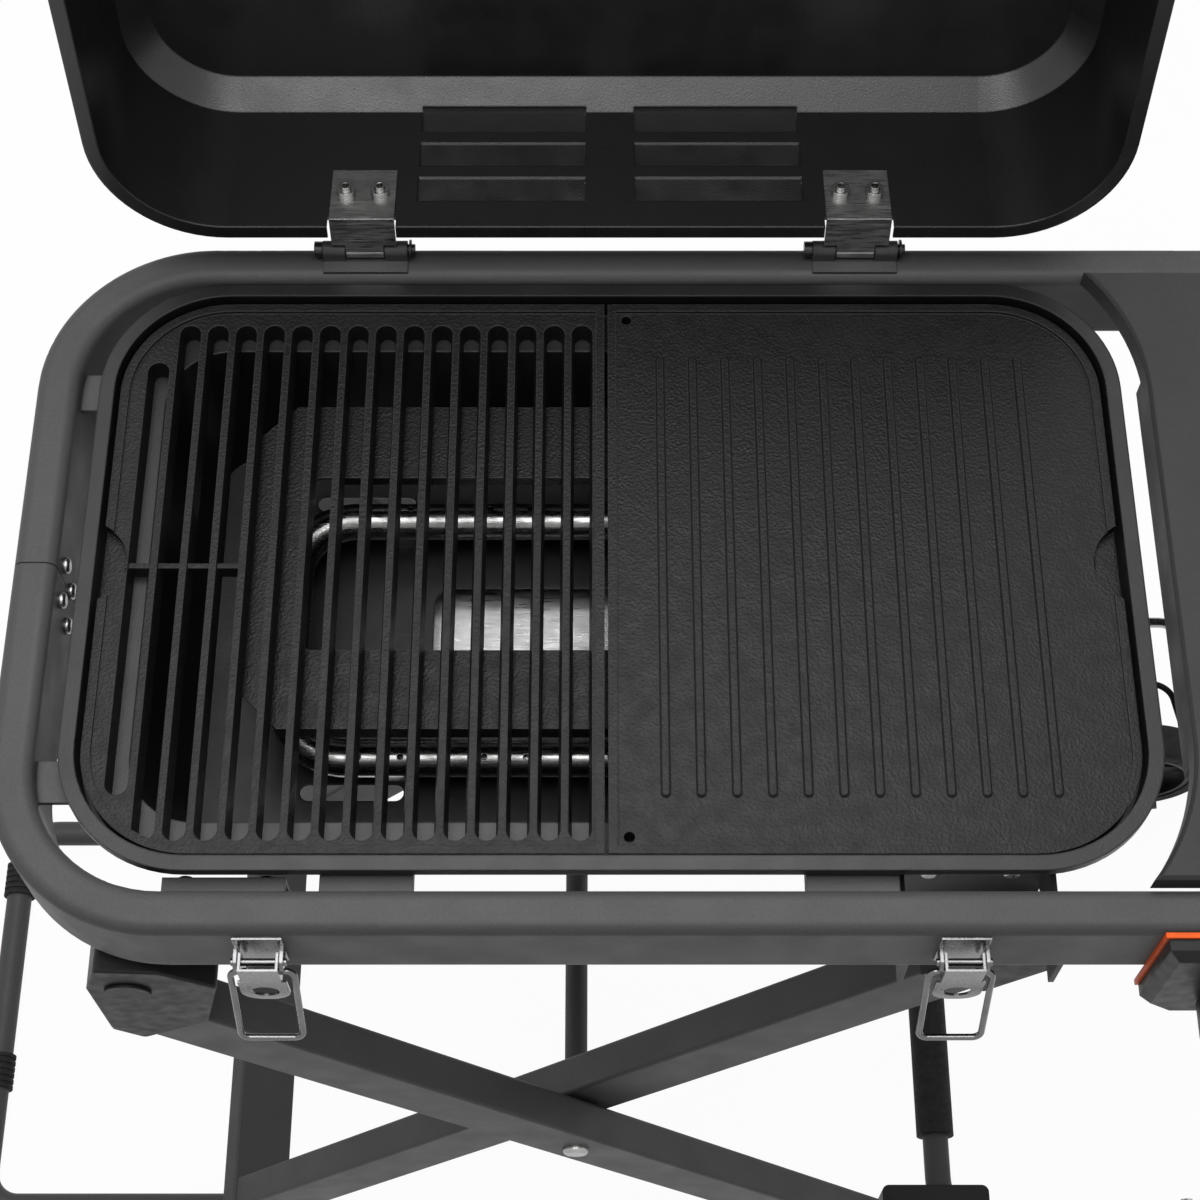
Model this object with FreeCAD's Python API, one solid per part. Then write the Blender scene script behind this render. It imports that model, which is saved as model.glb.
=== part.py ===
import FreeCAD, Part
import math
import os

# Gas grill on a folding scissor stand. All sizes are in millimetres, +Z is up, -Y is the front.
# The model is laid out from the firebox centre (x, y) and the floor (z), then moved to its origin.

# Firebox and lid share one outline
FRAME_TOP = 868.0
RIM_W = 591.0
RIM_D = 368.0
RIM_R = 72.0
RIM_TOP = FRAME_TOP - 3.0
SHEET = 1.6
LIP = 7.0
LEDGE_DROP = 20.0
LEDGE_W = 26.0
BOWL_DEPTH = 110.0
BOWL_TAPER = 20.0
DRAIN_W = 212.0
DRAIN_D = 76.0

# Frame tube, which goes round the firebox and the shelf with these gaps
TUBE_W = 24.0
TUBE_H = 60.0
TUBE_WALL = 1.6
TUBE_EDGE = 7.0
FRONT_GAP = 10.5
REAR_GAP = 1.5
LEFT_GAP = 12.5
SHELF_SPAN = 229.5
FRAME_CORNER = 85.0
SEAM_GAP = 0.6
FRAME_LEFT = -RIM_W / 2 - LEFT_GAP - TUBE_W
FRAME_RIGHT = RIM_W / 2 + SHELF_SPAN + TUBE_W
FRAME_FRONT = -RIM_D / 2 - FRONT_GAP - TUBE_W
FRAME_REAR = RIM_D / 2 + REAR_GAP + TUBE_W
FRAME_MID_Y = (FRAME_FRONT + FRAME_REAR) / 2
TUBE_BOTTOM = FRAME_TOP - TUBE_H

# Cooking plates
PLATE_GAP = 2.0
PLATE_SPLIT = -2.5
PLATE_CLEAR = 2.5
PLATE_THICK = 15.0
PLATE_LIP_W = 5.0
PLATE_LIP_H = 2.2
SLOT_COUNT = 16
SLOT_PITCH = 16.5
SLOT_TOP = 12.5
SLOT_LOW = 9.0
SLOT_FIRST = 14.0
SLOT_FRONT = 8.0
SLOT_REAR = 13.5
SLOT_SPLIT = 4
CROSS_BAR = 3.0
RIB_COUNT = 12
RIB_PITCH = 19.0
RIB_FIRST = 29.0
RIB_LENGTH = 277.0
RIB_Y = -2.0
RIM_UNDER = 12.0
RECESS = 7.0
NOTCH_R = 26.0
NOTCH_OUT = 12.0

# Burner set
TAMER_W = RIM_W - 171.0
TAMER_D = RIM_D - 161.0
TAMER_WIN_W = TAMER_W - 78.0
TAMER_WIN_D = TAMER_D - 96.0
TAMER_WIN_R = 3.0
TAMER_Y = 12.0
TAMER_TOP = FRAME_TOP - 31.0
BURNER_W = RIM_W - 193.0
BURNER_D = RIM_D - 191.0
BURNER_TUBE = 22.0
BURNER_Y = -5.5
BURNER_Z = FRAME_TOP - 92.0
PORT_PITCH = 24.0
TRAY_W = 236.0
TRAY_D = 150.0
TRAY_H = 18.0

# Lid
LID_WALL = 100.0
LID_BEVEL = 16.0
LID_OPEN = 100.0
LID_SEAT = 1.0
HINGE_X = 145.0
HINGE_Y = FRAME_REAR - 7.5
HINGE_Z = FRAME_TOP + 7.0
BARREL_R = 5.0
LEAF_W = 38.0
LOUVRE_X = 64.0
LOUVRE_W = 103.0
LOUVRE_ROWS = (32.0, 62.0, 92.0)
LOUVRE_UP = 11.0
LOUVRE_DOWN = 10.0
LOUVRE_OUT = 7.0
RIVET_HEAD = 5.5
RIVET_SHANK = 3.1
RIVET_BORE = 2.0
HANDLE_HALF = 170.0
HANDLE_R = 10.0

# Latches
LATCH_X = 183.0
LATCH_W = 26.0

# Scissor stand
LEG_W = 26.0
LEG_H = 48.0
LEG_WALL = 1.8
PIVOT_X = -23.0
PIVOT_DROP = 477.0
LEG_TOP_X = -280.0
LEG_TOP_DROP = 144.0
TOP_X = -267.0
TOP_DROP = 104.0
CAP_SKIN = 2.4
CAP_LENGTH = 45.0
DISC_R = 13.0
LEG_A_FRONT = FRAME_FRONT + 3.5
LEG_GAP = 4.0
LEG_A_LOW = 462.0
LEG_B_LOW = 440.0
PIVOT_BOLT = 10.0
TOP_BOLT = 8.0
RUN_CLEAR = 0.06
PIVOT_TUBE = 16.0
BAR_W = 52.0
BAR_T = 20.0
FOOT_TUBE = 22.0
RING_R = 14.0
HOOP_X = -534.0
HOOP_IN = 10.5
HOOP_BEND = 30.0
BEND_R = 42.0
WHEEL_R = 60.0
WHEEL_W = 32.0
WHEEL_X = 484.0
AXLE = 10.0
YOKE_X = 284.0
YOKE_IN = 22.5
GRIP_R = 16.0
GRIP_L = 240.0

# Shelf and controls
SHELF_LEFT = 308.0
SHELF_TOP = FRAME_TOP + 10.0
SHELF_RIM = 28.0
HOUSING_LEFT = 286.0
HOUSING_RIGHT = 400.0
HOUSING_DROP = 96.0
HOUSING_DEPTH = 14.0
TRIM_DEPTH = 3.0
TRIM_OUT = 2.0
KNOB_X = 340.0
KNOB_R = 27.0
STEM_R = 4.0
INLET_R = 7.94
KNOB_Z = TUBE_BOTTOM - 6.0

# Derived places
PIVOT_Z = FRAME_TOP - PIVOT_DROP
TOP_Z = FRAME_TOP - TOP_DROP
LEG_TOP_Z = FRAME_TOP - LEG_TOP_DROP
LEG_UP = math.hypot(PIVOT_X - LEG_TOP_X, LEG_TOP_Z - PIVOT_Z)
LEG_ANGLE = math.degrees(math.atan2(LEG_TOP_Z - PIVOT_Z, PIVOT_X - LEG_TOP_X))
LEG_COS = math.cos(math.radians(LEG_ANGLE))
LEG_SIN = math.sin(math.radians(LEG_ANGLE))
LEG_A_BACK = LEG_A_FRONT + LEG_W
LEG_B_FRONT = LEG_A_BACK + LEG_GAP
LEG_B_BACK = LEG_B_FRONT + LEG_W
HOOP_HALF = FRAME_MID_Y - LEG_B_FRONT - HOOP_IN
YOKE_HALF = FRAME_MID_Y - LEG_A_FRONT - YOKE_IN
PLATE_LOW = RIM_TOP - LEDGE_DROP
PLATE_TOP = PLATE_LOW + PLATE_THICK
PLATE_W = RIM_W - 2 * (LIP + SHEET + PLATE_CLEAR)
PLATE_D = RIM_D - 2 * (LIP + SHEET + PLATE_CLEAR)
PLATE_R = RIM_R - LIP - SHEET - PLATE_CLEAR
BOWL_FLOOR = RIM_TOP - BOWL_DEPTH
LID_HEIGHT = LID_WALL + LID_BEVEL
LID_SEAT_Z = RIM_TOP + LID_SEAT

# The origin is the middle of the bottom of the box around the open grill
LID_TOP_D = RIM_D - 2 * LIP - 2 * LID_BEVEL
OPEN_SIN = math.sin(math.radians(LID_OPEN))
OPEN_COS = math.cos(math.radians(LID_OPEN))
LID_BACK = HINGE_Y - (LID_TOP_D / 2 + HINGE_Y) * OPEN_COS + (LID_SEAT_Z + LID_HEIGHT - HINGE_Z) * OPEN_SIN
HOUSING_FRONT = FRAME_FRONT - HOUSING_DEPTH
KNOB_DEPTH = 22.0
KNOB_GAP = 2.0
KNOB_MARK = 0.8
KNOB_FRONT = HOUSING_FRONT - KNOB_GAP - KNOB_DEPTH - KNOB_MARK
ORIGIN_X = (HOOP_X - RING_R + FRAME_RIGHT) / 2
ORIGIN_Y = (KNOB_FRONT + LID_BACK) / 2


def vec(x, y, z):
    return FreeCAD.Vector(x, y, z)


def box(x0, x1, y0, y1, z0, z1):
    return Part.makeBox(x1 - x0, y1 - y0, z1 - z0, vec(x0, y0, z0))


def rod(radius, start, end):
    way = end - start
    return Part.makeCylinder(radius, way.Length, start, way)


def ring(outer, inner, start, end):
    return rod(outer, start, end).cut(rod(inner, start, end))


def mirror_y(shape):
    """The rear copy of a piece of the stand or the frame."""
    return shape.mirror(vec(0, FRAME_MID_Y, 0), vec(0, 1, 0))


def mirror_x(shape):
    return shape.mirror(vec(0, 0, 0), vec(1, 0, 0))


def fuse(shapes):
    whole = shapes[0]
    if len(shapes) > 1:
        whole = whole.multiFuse(shapes[1:])
    return whole.removeSplitter()


def group(shapes):
    solids = []
    for shape in shapes:
        solids.extend(shape.Solids)
    return Part.makeCompound(solids)


def rounded_wire(width, depth, radius, z, cx=0.0, cy=0.0):
    hw = width / 2
    hd = depth / 2
    s = radius * (1 - math.sqrt(0.5))
    corners = []
    for sx, sy in ((1, -1), (1, 1), (-1, 1), (-1, -1)):
        corners.append((sx, sy))
    edges = []
    arcs = []
    for sx, sy in corners:
        on_x = vec(cx + sx * hw, cy + sy * (hd - radius), z)
        on_y = vec(cx + sx * (hw - radius), cy + sy * hd, z)
        mid = vec(cx + sx * (hw - s), cy + sy * (hd - s), z)
        first, last = (on_y, on_x) if sx * sy < 0 else (on_x, on_y)
        arcs.append((first, mid, last))
    for index, (first, mid, last) in enumerate(arcs):
        edges.append(Part.Arc(first, mid, last).toShape())
        following = arcs[(index + 1) % 4][0]
        edges.append(Part.makeLine(last, following))
    return Part.Wire(edges)


def rounded_slab(width, depth, radius, z0, z1, cx=0.0, cy=0.0):
    face = Part.Face(rounded_wire(width, depth, radius, z0, cx, cy))
    return face.extrude(vec(0, 0, z1 - z0))


def rounded_taper(low, high):
    """A solid between two rounded outlines, each given as width, depth, radius and height."""
    wires = [rounded_wire(*low), rounded_wire(*high)]
    return Part.makeLoft(wires, True, True)


def bent_path(points, radius):
    """Straight runs through the points, with an arc of one radius at each inner point."""
    edges = []
    last = points[0]
    for index in range(1, len(points) - 1):
        corner = points[index]
        back = (points[index - 1] - corner).normalize()
        ahead = (points[index + 1] - corner).normalize()
        half = math.acos(max(-1.0, min(1.0, back.dot(ahead)))) / 2
        reach = radius / math.tan(half)
        start = corner + back * reach
        end = corner + ahead * reach
        inward = (back + ahead).normalize()
        mid = corner + inward * (radius / math.sin(half) - radius)
        if (start - last).Length > 1e-6:
            edges.append(Part.makeLine(last, start))
        edges.append(Part.Arc(start, mid, end).toShape())
        last = end
    edges.append(Part.makeLine(last, points[-1]))
    return Part.Wire(edges)


def round_bar(points, bend, radius):
    path = bent_path(points, bend)
    way = points[1] - points[0]
    profile = Part.Wire(Part.makeCircle(radius, points[0], way))
    return path.makePipeShell([profile], True, False)


def round_tube(points, bend, radius, wall):
    return round_bar(points, bend, radius).cut(round_bar(points, bend, radius - wall))


def dome_screw(radius, height, place, way, shank=0.0, shank_r=2.5):
    """A dome head standing on its seat; the shank goes the other way."""
    head = Part.makeCylinder(radius, height, place, way)
    far = [edge for edge in head.Edges if edge.Length > radius and abs(
        (edge.CenterOfMass - place).dot(way) / way.Length - height) < 1e-3]
    head = head.makeFillet(height * 0.7, far[:1])
    if shank > 0:
        head = head.fuse(Part.makeCylinder(shank_r, shank, place, way * -1))
    return head


def section_tube(path, start, along, width, height, edge, wall):
    """A hollow tube with a rounded rectangular section; the section stands upright at the start."""
    side = along.cross(vec(0, 0, 1)).normalize()
    shells = []
    for inset in (0.0, wall):
        radius = max(edge - inset, 0.5)
        flat = rounded_wire(width - 2 * inset, height - 2 * inset, radius, 0.0)
        turn = FreeCAD.Matrix(
            side.x, 0, along.x, start.x,
            side.y, 0, along.y, start.y,
            side.z, 1, along.z, start.z,
            0, 0, 0, 1)
        profile = flat.transformGeometry(turn)
        shells.append(path.makePipeShell([profile], True, False))
    return shells[0].cut(shells[1])


def frame_half(front):
    """One bent half of the frame loop, from the left seam round to the right seam."""
    z = FRAME_TOP - TUBE_H / 2
    left = FRAME_LEFT + TUBE_W / 2
    right = FRAME_RIGHT - TUBE_W / 2
    side = -1 if front else 1
    line = FRAME_FRONT + TUBE_W / 2 if front else FRAME_REAR - TUBE_W / 2
    seam = FRAME_MID_Y + side * SEAM_GAP / 2
    points = [vec(left, seam, z), vec(left, line, z), vec(right, line, z), vec(right, seam, z)]
    path = bent_path(points, FRAME_CORNER)
    return section_tube(path, points[0], vec(0, side, 0), TUBE_W, TUBE_H, TUBE_EDGE, TUBE_WALL)


def splice(left):
    x = FRAME_LEFT + TUBE_W / 2 if left else FRAME_RIGHT - TUBE_W / 2
    width = TUBE_W - 2 * TUBE_WALL - 0.6
    height = TUBE_H - 2 * TUBE_WALL - 0.6
    z = FRAME_TOP - TUBE_H / 2
    flat = rounded_slab(width, height, TUBE_EDGE - TUBE_WALL - 0.2, -45.0, 45.0)
    flat.rotate(vec(0, 0, 0), vec(1, 0, 0), 90)
    flat.translate(vec(x, FRAME_MID_Y, z))
    return flat


SPLICE_SCREWS = ((9.0, 9.0), (2.0, -9.0), (-13.0, 9.0), (-20.0, -9.0))


def splice_screw_places():
    places = []
    for left in (True, False):
        x = FRAME_LEFT + TUBE_W if left else FRAME_RIGHT - TUBE_W
        way = vec(1, 0, 0) if left else vec(-1, 0, 0)
        for dy, dz in SPLICE_SCREWS:
            places.append((vec(x, FRAME_MID_Y + dy, FRAME_TOP - TUBE_H / 2 + dz), way))
    return places


def make_firebox():
    inner_w = RIM_W - 2 * LIP
    inner_d = RIM_D - 2 * LIP
    inner_r = RIM_R - LIP
    lip = rounded_slab(RIM_W, RIM_D, RIM_R, RIM_TOP - LIP, RIM_TOP)
    under = rounded_slab(RIM_W - 2 * SHEET, RIM_D - 2 * SHEET, RIM_R - SHEET, RIM_TOP - LIP, RIM_TOP - SHEET)
    lip = lip.cut(under)
    ledge_z = RIM_TOP - LEDGE_DROP
    collar = rounded_slab(inner_w, inner_d, inner_r, ledge_z - SHEET, RIM_TOP)
    body = lip.fuse(collar)
    body = body.cut(rounded_slab(
        inner_w - 2 * SHEET, inner_d - 2 * SHEET, inner_r - SHEET, ledge_z, RIM_TOP + 1))
    top_w = inner_w - 2 * LEDGE_W
    top_d = inner_d - 2 * LEDGE_W
    top_r = inner_r - LEDGE_W
    low_w = top_w - 2 * BOWL_TAPER
    low_d = top_d - 2 * BOWL_TAPER
    low_r = top_r - BOWL_TAPER / 2
    outer = rounded_taper((low_w, low_d, low_r, BOWL_FLOOR - SHEET), (top_w, top_d, top_r, ledge_z - SHEET))
    body = body.fuse(outer)
    cavity = rounded_taper(
        (low_w - 2 * SHEET, low_d - 2 * SHEET, low_r - SHEET, BOWL_FLOOR),
        (top_w - 2 * SHEET, top_d - 2 * SHEET, top_r - SHEET, ledge_z + 0.01))
    body = body.cut(cavity)
    body = body.cut(rounded_slab(DRAIN_W, DRAIN_D, 12.0, BOWL_FLOOR - 5, BOWL_FLOOR + 5))
    for side in (-1, 1):
        for y in (-96.0, 96.0):
            body = body.cut(rounded_slab(60.0, 10.0, 4.9, BOWL_FLOOR - 5, BOWL_FLOOR + 5, side * 150.0, y))
    # the feed pipe and the ignition wire go through the right wall
    body = body.cut(rod(4.3, vec(220, PIPE_Y, BURNER_Z), vec(300, PIPE_Y, BURNER_Z)))
    body = body.cut(rod(2.4, vec(220, WIRE_Y, WIRE_Z), vec(300, WIRE_Y, WIRE_Z)))
    return body.removeSplitter()


PIPE_Y = 4.0
WIRE_Y = -43.0
WIRE_Z = BURNER_Z + BURNER_TUBE / 2 + 4.0


def bracket_front(x):
    """A U-channel between the frame tube's inner face and the firebox collar."""
    width = 49.0
    depth_front = FRAME_FRONT + TUBE_W
    depth_back = -(RIM_D / 2 - LIP)
    z0 = RIM_TOP - 21.0
    z1 = RIM_TOP - 10.5
    channel = box(x - width / 2, x + width / 2, depth_front, depth_back, z0, z1)
    hollow = box(x - width / 2 + 3, x + width / 2 - 3, depth_front + 3, depth_back - 3, z0 - 1, z1 - 2.5)
    return channel.cut(hollow)


def bracket_rear(x):
    width = 49.0
    depth_back = FRAME_REAR - TUBE_W
    depth_front = RIM_D / 2 - LIP
    z0 = RIM_TOP - 21.0
    z1 = RIM_TOP - 10.5
    channel = box(x - width / 2, x + width / 2, depth_front, depth_back, z0, z1)
    hollow = box(x - width / 2 + 3, x + width / 2 - 3, depth_front + 3, depth_back - 3, z0 - 1, z1 - 2.5)
    return channel.cut(hollow)


def bracket_left(y):
    x0 = FRAME_LEFT + TUBE_W
    x1 = -(RIM_W / 2 - LIP)
    tab = box(x0, x1, y - 12, y + 12, RIM_TOP - 14.0, RIM_TOP - 11.0)
    outside = tab.cut(frame_half(y < FRAME_MID_Y))
    return max(outside.Solids, key=lambda solid: solid.Volume)


def plate_side(left, inset, z0, z1):
    """The space on one side of the gap between the plates."""
    side = -1 if left else 1
    near = PLATE_SPLIT + side * (PLATE_GAP / 2 + inset)
    far = side * PLATE_W
    return box(min(near, far), max(near, far), -PLATE_D, PLATE_D, z0, z1)


def plate_blank(left):
    """A plate with a raised lip round its edge and a finger notch at its outer end."""
    whole = rounded_slab(PLATE_W, PLATE_D, PLATE_R, PLATE_LOW, PLATE_TOP)
    dish = rounded_slab(
        PLATE_W - 2 * PLATE_LIP_W, PLATE_D - 2 * PLATE_LIP_W, PLATE_R - PLATE_LIP_W,
        PLATE_TOP - PLATE_LIP_H, PLATE_TOP + 1)
    plate = whole.common(plate_side(left, 0.0, PLATE_LOW - 1, PLATE_TOP + 1))
    plate = plate.cut(dish.common(plate_side(left, PLATE_LIP_W, PLATE_LOW - 1, PLATE_TOP + 2)))
    side = -1 if left else 1
    centre = vec(side * (PLATE_W / 2 + NOTCH_OUT), 0, PLATE_TOP - 8.0)
    return plate.cut(Part.makeCylinder(NOTCH_R, 9.0, centre))


def slot_cutter(x, y0, y1, z0, z1):
    """A tapered slot along Y with round ends."""
    top = SLOT_TOP / 2
    low = SLOT_LOW / 2
    a = y0 + top
    b = y1 - top
    points = [vec(x - low, a, z0), vec(x + low, a, z0), vec(x + top, a, z1), vec(x - top, a, z1)]
    wedge = Part.Face(Part.makePolygon(points + [points[0]])).extrude(vec(0, b - a, 0))
    cones = [Part.makeCone(low, top, z1 - z0, vec(x, y, z0)) for y in (a, b)]
    return wedge.multiFuse(cones)


def make_grate():
    plate = plate_blank(True)
    z0 = PLATE_LOW - 0.01
    z1 = PLATE_TOP - PLATE_LIP_H + 0.01
    front = -PLATE_D / 2 + SLOT_FRONT
    rear = PLATE_D / 2 - SLOT_REAR
    cutters = []
    for index in range(SLOT_COUNT):
        x = PLATE_SPLIT - SLOT_FIRST - SLOT_PITCH * index
        # the outermost slot is shorter, where the plate's corners are round
        short = 26.0 if index == SLOT_COUNT - 1 else 0.0
        cutters.append(slot_cutter(x, front + short, rear - short, z0, z1))
    plate = plate.cut(Part.makeCompound(cutters))
    # a low bar crosses the outer slots
    outer = PLATE_SPLIT - SLOT_FIRST - SLOT_PITCH * (SLOT_COUNT - 0.5)
    bar = box(
        outer, outer + SLOT_PITCH * SLOT_SPLIT, -CROSS_BAR / 2, CROSS_BAR / 2, PLATE_LOW, PLATE_TOP - 4.5)
    return plate.fuse(bar).removeSplitter()


def make_griddle():
    plate = plate_blank(False)
    floor = PLATE_TOP - PLATE_LIP_H
    ribs = []
    for index in range(RIB_COUNT):
        x = RIB_FIRST + RIB_PITCH * index
        rib = rounded_slab(5.4, RIB_LENGTH, 2.6, floor - 1.0, floor + 2.0, x, RIB_Y)
        top = [edge for edge in rib.Edges if abs(edge.BoundBox.ZMin - floor - 2.0) < 1e-6]
        ribs.append(rib.makeChamfer(1.1, top))
    plate = plate.multiFuse(ribs)
    # the casting is recessed underneath, inside a rim that stands on the ledge
    recess = rounded_slab(
        PLATE_W - 2 * RIM_UNDER, PLATE_D - 2 * RIM_UNDER, PLATE_R - RIM_UNDER,
        PLATE_LOW - 1, PLATE_LOW + RECESS)
    plate = plate.cut(recess.common(plate_side(False, RIM_UNDER, PLATE_LOW - 2, PLATE_LOW + RECESS + 1)))
    for side in (-1, 1):
        y = side * (PLATE_D / 2 - 10.0)
        plate = plate.cut(rod(3.0, vec(9.5, y, PLATE_LOW - 20), vec(9.5, y, PLATE_TOP + 5)))
    return plate


def make_tamer():
    cut = 26.0
    hw = TAMER_W / 2
    hd = TAMER_D / 2
    outline = [
        vec(-hw + cut, -hd, 0), vec(hw - cut, -hd, 0), vec(hw, -hd + cut, 0), vec(hw, hd - cut, 0),
        vec(hw - cut, hd, 0), vec(-hw + cut, hd, 0), vec(-hw, hd - cut, 0), vec(-hw, -hd + cut, 0)]
    plate = Part.Face(Part.makePolygon(outline + [outline[0]])).extrude(vec(0, 0, -2.0))
    window = rounded_slab(TAMER_WIN_W, TAMER_WIN_D, TAMER_WIN_R, -5, 5)
    plate = plate.cut(window)
    skirts = []
    for side in (-1, 1):
        y = side * (hd - 1.0)
        skirts.append(box(-hw + cut, hw - cut, y - 1.0, y + 1.0, -12.0, -1.0))
        y = side * (TAMER_WIN_D / 2 + 1.0)
        skirts.append(box(-TAMER_WIN_W / 2 + 9, TAMER_WIN_W / 2 - 9, y - 1.0, y + 1.0, -8.0, -1.0))
    # the feet stand outside the burner, on the side skirts
    drop = BOWL_FLOOR - TAMER_TOP
    for sx in (-1, 1):
        x = sx * (hw - 1.0)
        skirts.append(box(x - 1.0, x + 1.0, -hd + cut, hd - cut, -12.0, -1.0))
        for y in (-36.0, 36.0):
            skirts.append(box(x - 1.0, x + 1.0, y - 12.0, y + 12.0, drop, -1.0))
    tamer = fuse([plate] + skirts)
    tamer.translate(vec(0, TAMER_Y, TAMER_TOP))
    return tamer


def make_burner():
    hw = BURNER_W / 2 - BURNER_TUBE / 2
    hd = BURNER_D / 2 - BURNER_TUBE / 2
    start = vec(hw, PIPE_Y - BURNER_Y, 0)
    points = [
        start, vec(hw, hd, 0), vec(-hw, hd, 0), vec(-hw, -hd, 0), vec(hw, -hd, 0), start - vec(0, 0.4, 0)]
    loop = round_tube(points, 36.0, BURNER_TUBE / 2, 1.5)
    ports = []
    count = int((BURNER_W - 110) / PORT_PITCH)
    for index in range(count + 1):
        x = (index - count / 2) * PORT_PITCH
        for side in (-1, 1):
            reach = BURNER_TUBE / 2 + 2.0
            ports.append(rod(1.8, vec(x, side * hd, 3), vec(x, side * (hd + 0.5 * reach), 1.2 * reach)))
    loop = loop.cut(Part.makeCompound(ports))
    loop.translate(vec(0, BURNER_Y, BURNER_Z))
    inlet = ring(
        7.4, 4.3, vec(BURNER_W / 2 - 1.8, PIPE_Y, BURNER_Z), vec(BURNER_W / 2 + 24, PIPE_Y, BURNER_Z))
    hole = rod(4.3, vec(BURNER_W / 2 - 8, PIPE_Y, BURNER_Z), vec(BURNER_W / 2 + 5, PIPE_Y, BURNER_Z))
    return loop.fuse(inlet).cut(hole).removeSplitter()


def burner_supports():
    """Saddle strips from the firebox floor up to the burner tube."""
    parts = []
    hd = BURNER_D / 2 - BURNER_TUBE / 2
    for x in (-125.0, 125.0):
        for side in (-1, 1):
            y = BURNER_Y + side * hd
            strip = box(x - 9, x + 9, y - 6, y + 6, BOWL_FLOOR, BURNER_Z - 3)
            parts.append(strip.cut(rod(BURNER_TUBE / 2, vec(x - 20, y, BURNER_Z), vec(x + 20, y, BURNER_Z))))
    return group(parts)


def lid_place(shape):
    """Turns a piece modelled closed to the open rest position."""
    moved = shape.copy()
    moved.rotate(vec(0, HINGE_Y, HINGE_Z), vec(1, 0, 0), -LID_OPEN)
    return moved


def make_lid():
    z0 = LID_SEAT_Z
    wall_w = RIM_W - 2 * LIP
    wall_d = RIM_D - 2 * LIP
    wall_r = RIM_R - LIP
    z1 = z0 + LID_WALL
    z2 = z0 + LID_HEIGHT
    top_w = wall_w - 2 * LID_BEVEL
    top_d = wall_d - 2 * LID_BEVEL
    top_r = wall_r - LID_BEVEL
    flange = rounded_slab(RIM_W, RIM_D, RIM_R, z0, z0 + SHEET)
    wall = rounded_slab(wall_w, wall_d, wall_r, z0, z1)
    cap = rounded_taper((wall_w, wall_d, wall_r, z1), (top_w, top_d, top_r, z2))
    body = fuse([flange, wall, cap])
    inside = rounded_slab(wall_w - 2 * SHEET, wall_d - 2 * SHEET, wall_r - SHEET, z0 - 1, z1 - 0.5)
    inside_cap = rounded_taper(
        (wall_w - 2 * SHEET, wall_d - 2 * SHEET, wall_r - SHEET, z1 - 0.5),
        (top_w - SHEET, top_d - SHEET, top_r - SHEET / 2, z2 - SHEET))
    body = body.cut(inside.fuse(inside_cap))
    wall_y = wall_d / 2
    hoods = []
    openings = []
    for side in (-1, 1):
        x = side * LOUVRE_X
        for row in LOUVRE_ROWS:
            z = z0 + row
            a = x - LOUVRE_W / 2
            b = x + LOUVRE_W / 2
            low = z - LOUVRE_DOWN
            high = z + LOUVRE_UP
            out = wall_y + LOUVRE_OUT
            openings.append(box(a + 2, b - 2, wall_y - 5, wall_y + 3, low, high - 1))
            profile = [
                vec(a, wall_y - 1, high + 3), vec(a, out, low),
                vec(a, out - SHEET, low), vec(a, wall_y - 1, high)]
            hood = Part.Face(Part.makePolygon(profile + [profile[0]])).extrude(vec(LOUVRE_W, 0, 0))
            ends = []
            for ex in (a, b - 1.4):
                cheek = [vec(ex, wall_y - 1, high + 3), vec(ex, out, low), vec(ex, wall_y - 1, low)]
                ends.append(Part.Face(Part.makePolygon(cheek + [cheek[0]])).extrude(vec(1.4, 0, 0)))
            hoods.append(hood.multiFuse(ends))
    body = body.cut(Part.makeCompound(openings))
    body = body.multiFuse(hoods)
    for side in (-1, 1):
        x = side * HINGE_X
        gap = LEAF_W / 2 + 1.0
        body = body.cut(box(x - gap, x + gap, wall_y - 0.01, wall_y + 20, z0 - 1, z0 + SHEET + 1))
        body = body.cut(box(x - gap, x + gap, wall_y - 10, wall_y + 20, z0 - 1, z0 + 7.4))
    return body.removeSplitter()


def lid_leaf(x):
    """A steel strap inside the rear wall that goes out under the wall to the barrel."""
    wall_y = RIM_D / 2 - LIP - SHEET
    z0 = LID_SEAT_Z
    a = x - LEAF_W / 2
    b = x + LEAF_W / 2
    plate = box(a, b, wall_y - 2.0, wall_y, z0 + 4.4, z0 + 46.0)
    tongue = box(a, b, wall_y - 2.0, HINGE_Y - 2.5, z0 + 4.4, z0 + 6.6)
    knuckle = rod(BARREL_R, vec(x - 11, HINGE_Y, HINGE_Z), vec(x + 11, HINGE_Y, HINGE_Z))
    tongue_mid = box(x - 11, x + 11, wall_y + 8, HINGE_Y, z0 + 4.4, z0 + 6.6)
    clear = box(a - 1, x - 11, HINGE_Y - 7.5, HINGE_Y + 9, z0, z0 + 20)
    clear_b = box(x + 11, b + 1, HINGE_Y - 7.5, HINGE_Y + 9, z0, z0 + 20)
    leaf = fuse([plate, tongue]).cut(clear).cut(clear_b)
    leaf = leaf.fuse(tongue_mid).fuse(knuckle)
    bore = rod(3.0 + RUN_CLEAR, vec(x - 30, HINGE_Y, HINGE_Z), vec(x + 30, HINGE_Y, HINGE_Z))
    leaf = leaf.cut(bore)
    for dx in (-10.0, 10.0):
        leaf = leaf.cut(rod(
            RIVET_SHANK, vec(x + dx, wall_y - 10, z0 + 26), vec(x + dx, wall_y + 10, z0 + 26)))
    return leaf.removeSplitter()


def rivet_places():
    """The middle of each rivet on the inside of the lid's rear wall."""
    places = []
    for side in (-1, 1):
        for dx in (-10.0, 10.0):
            places.append(vec(side * HINGE_X + dx, RIM_D / 2 - LIP - SHEET, LID_SEAT_Z + 26))
    return places


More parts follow.
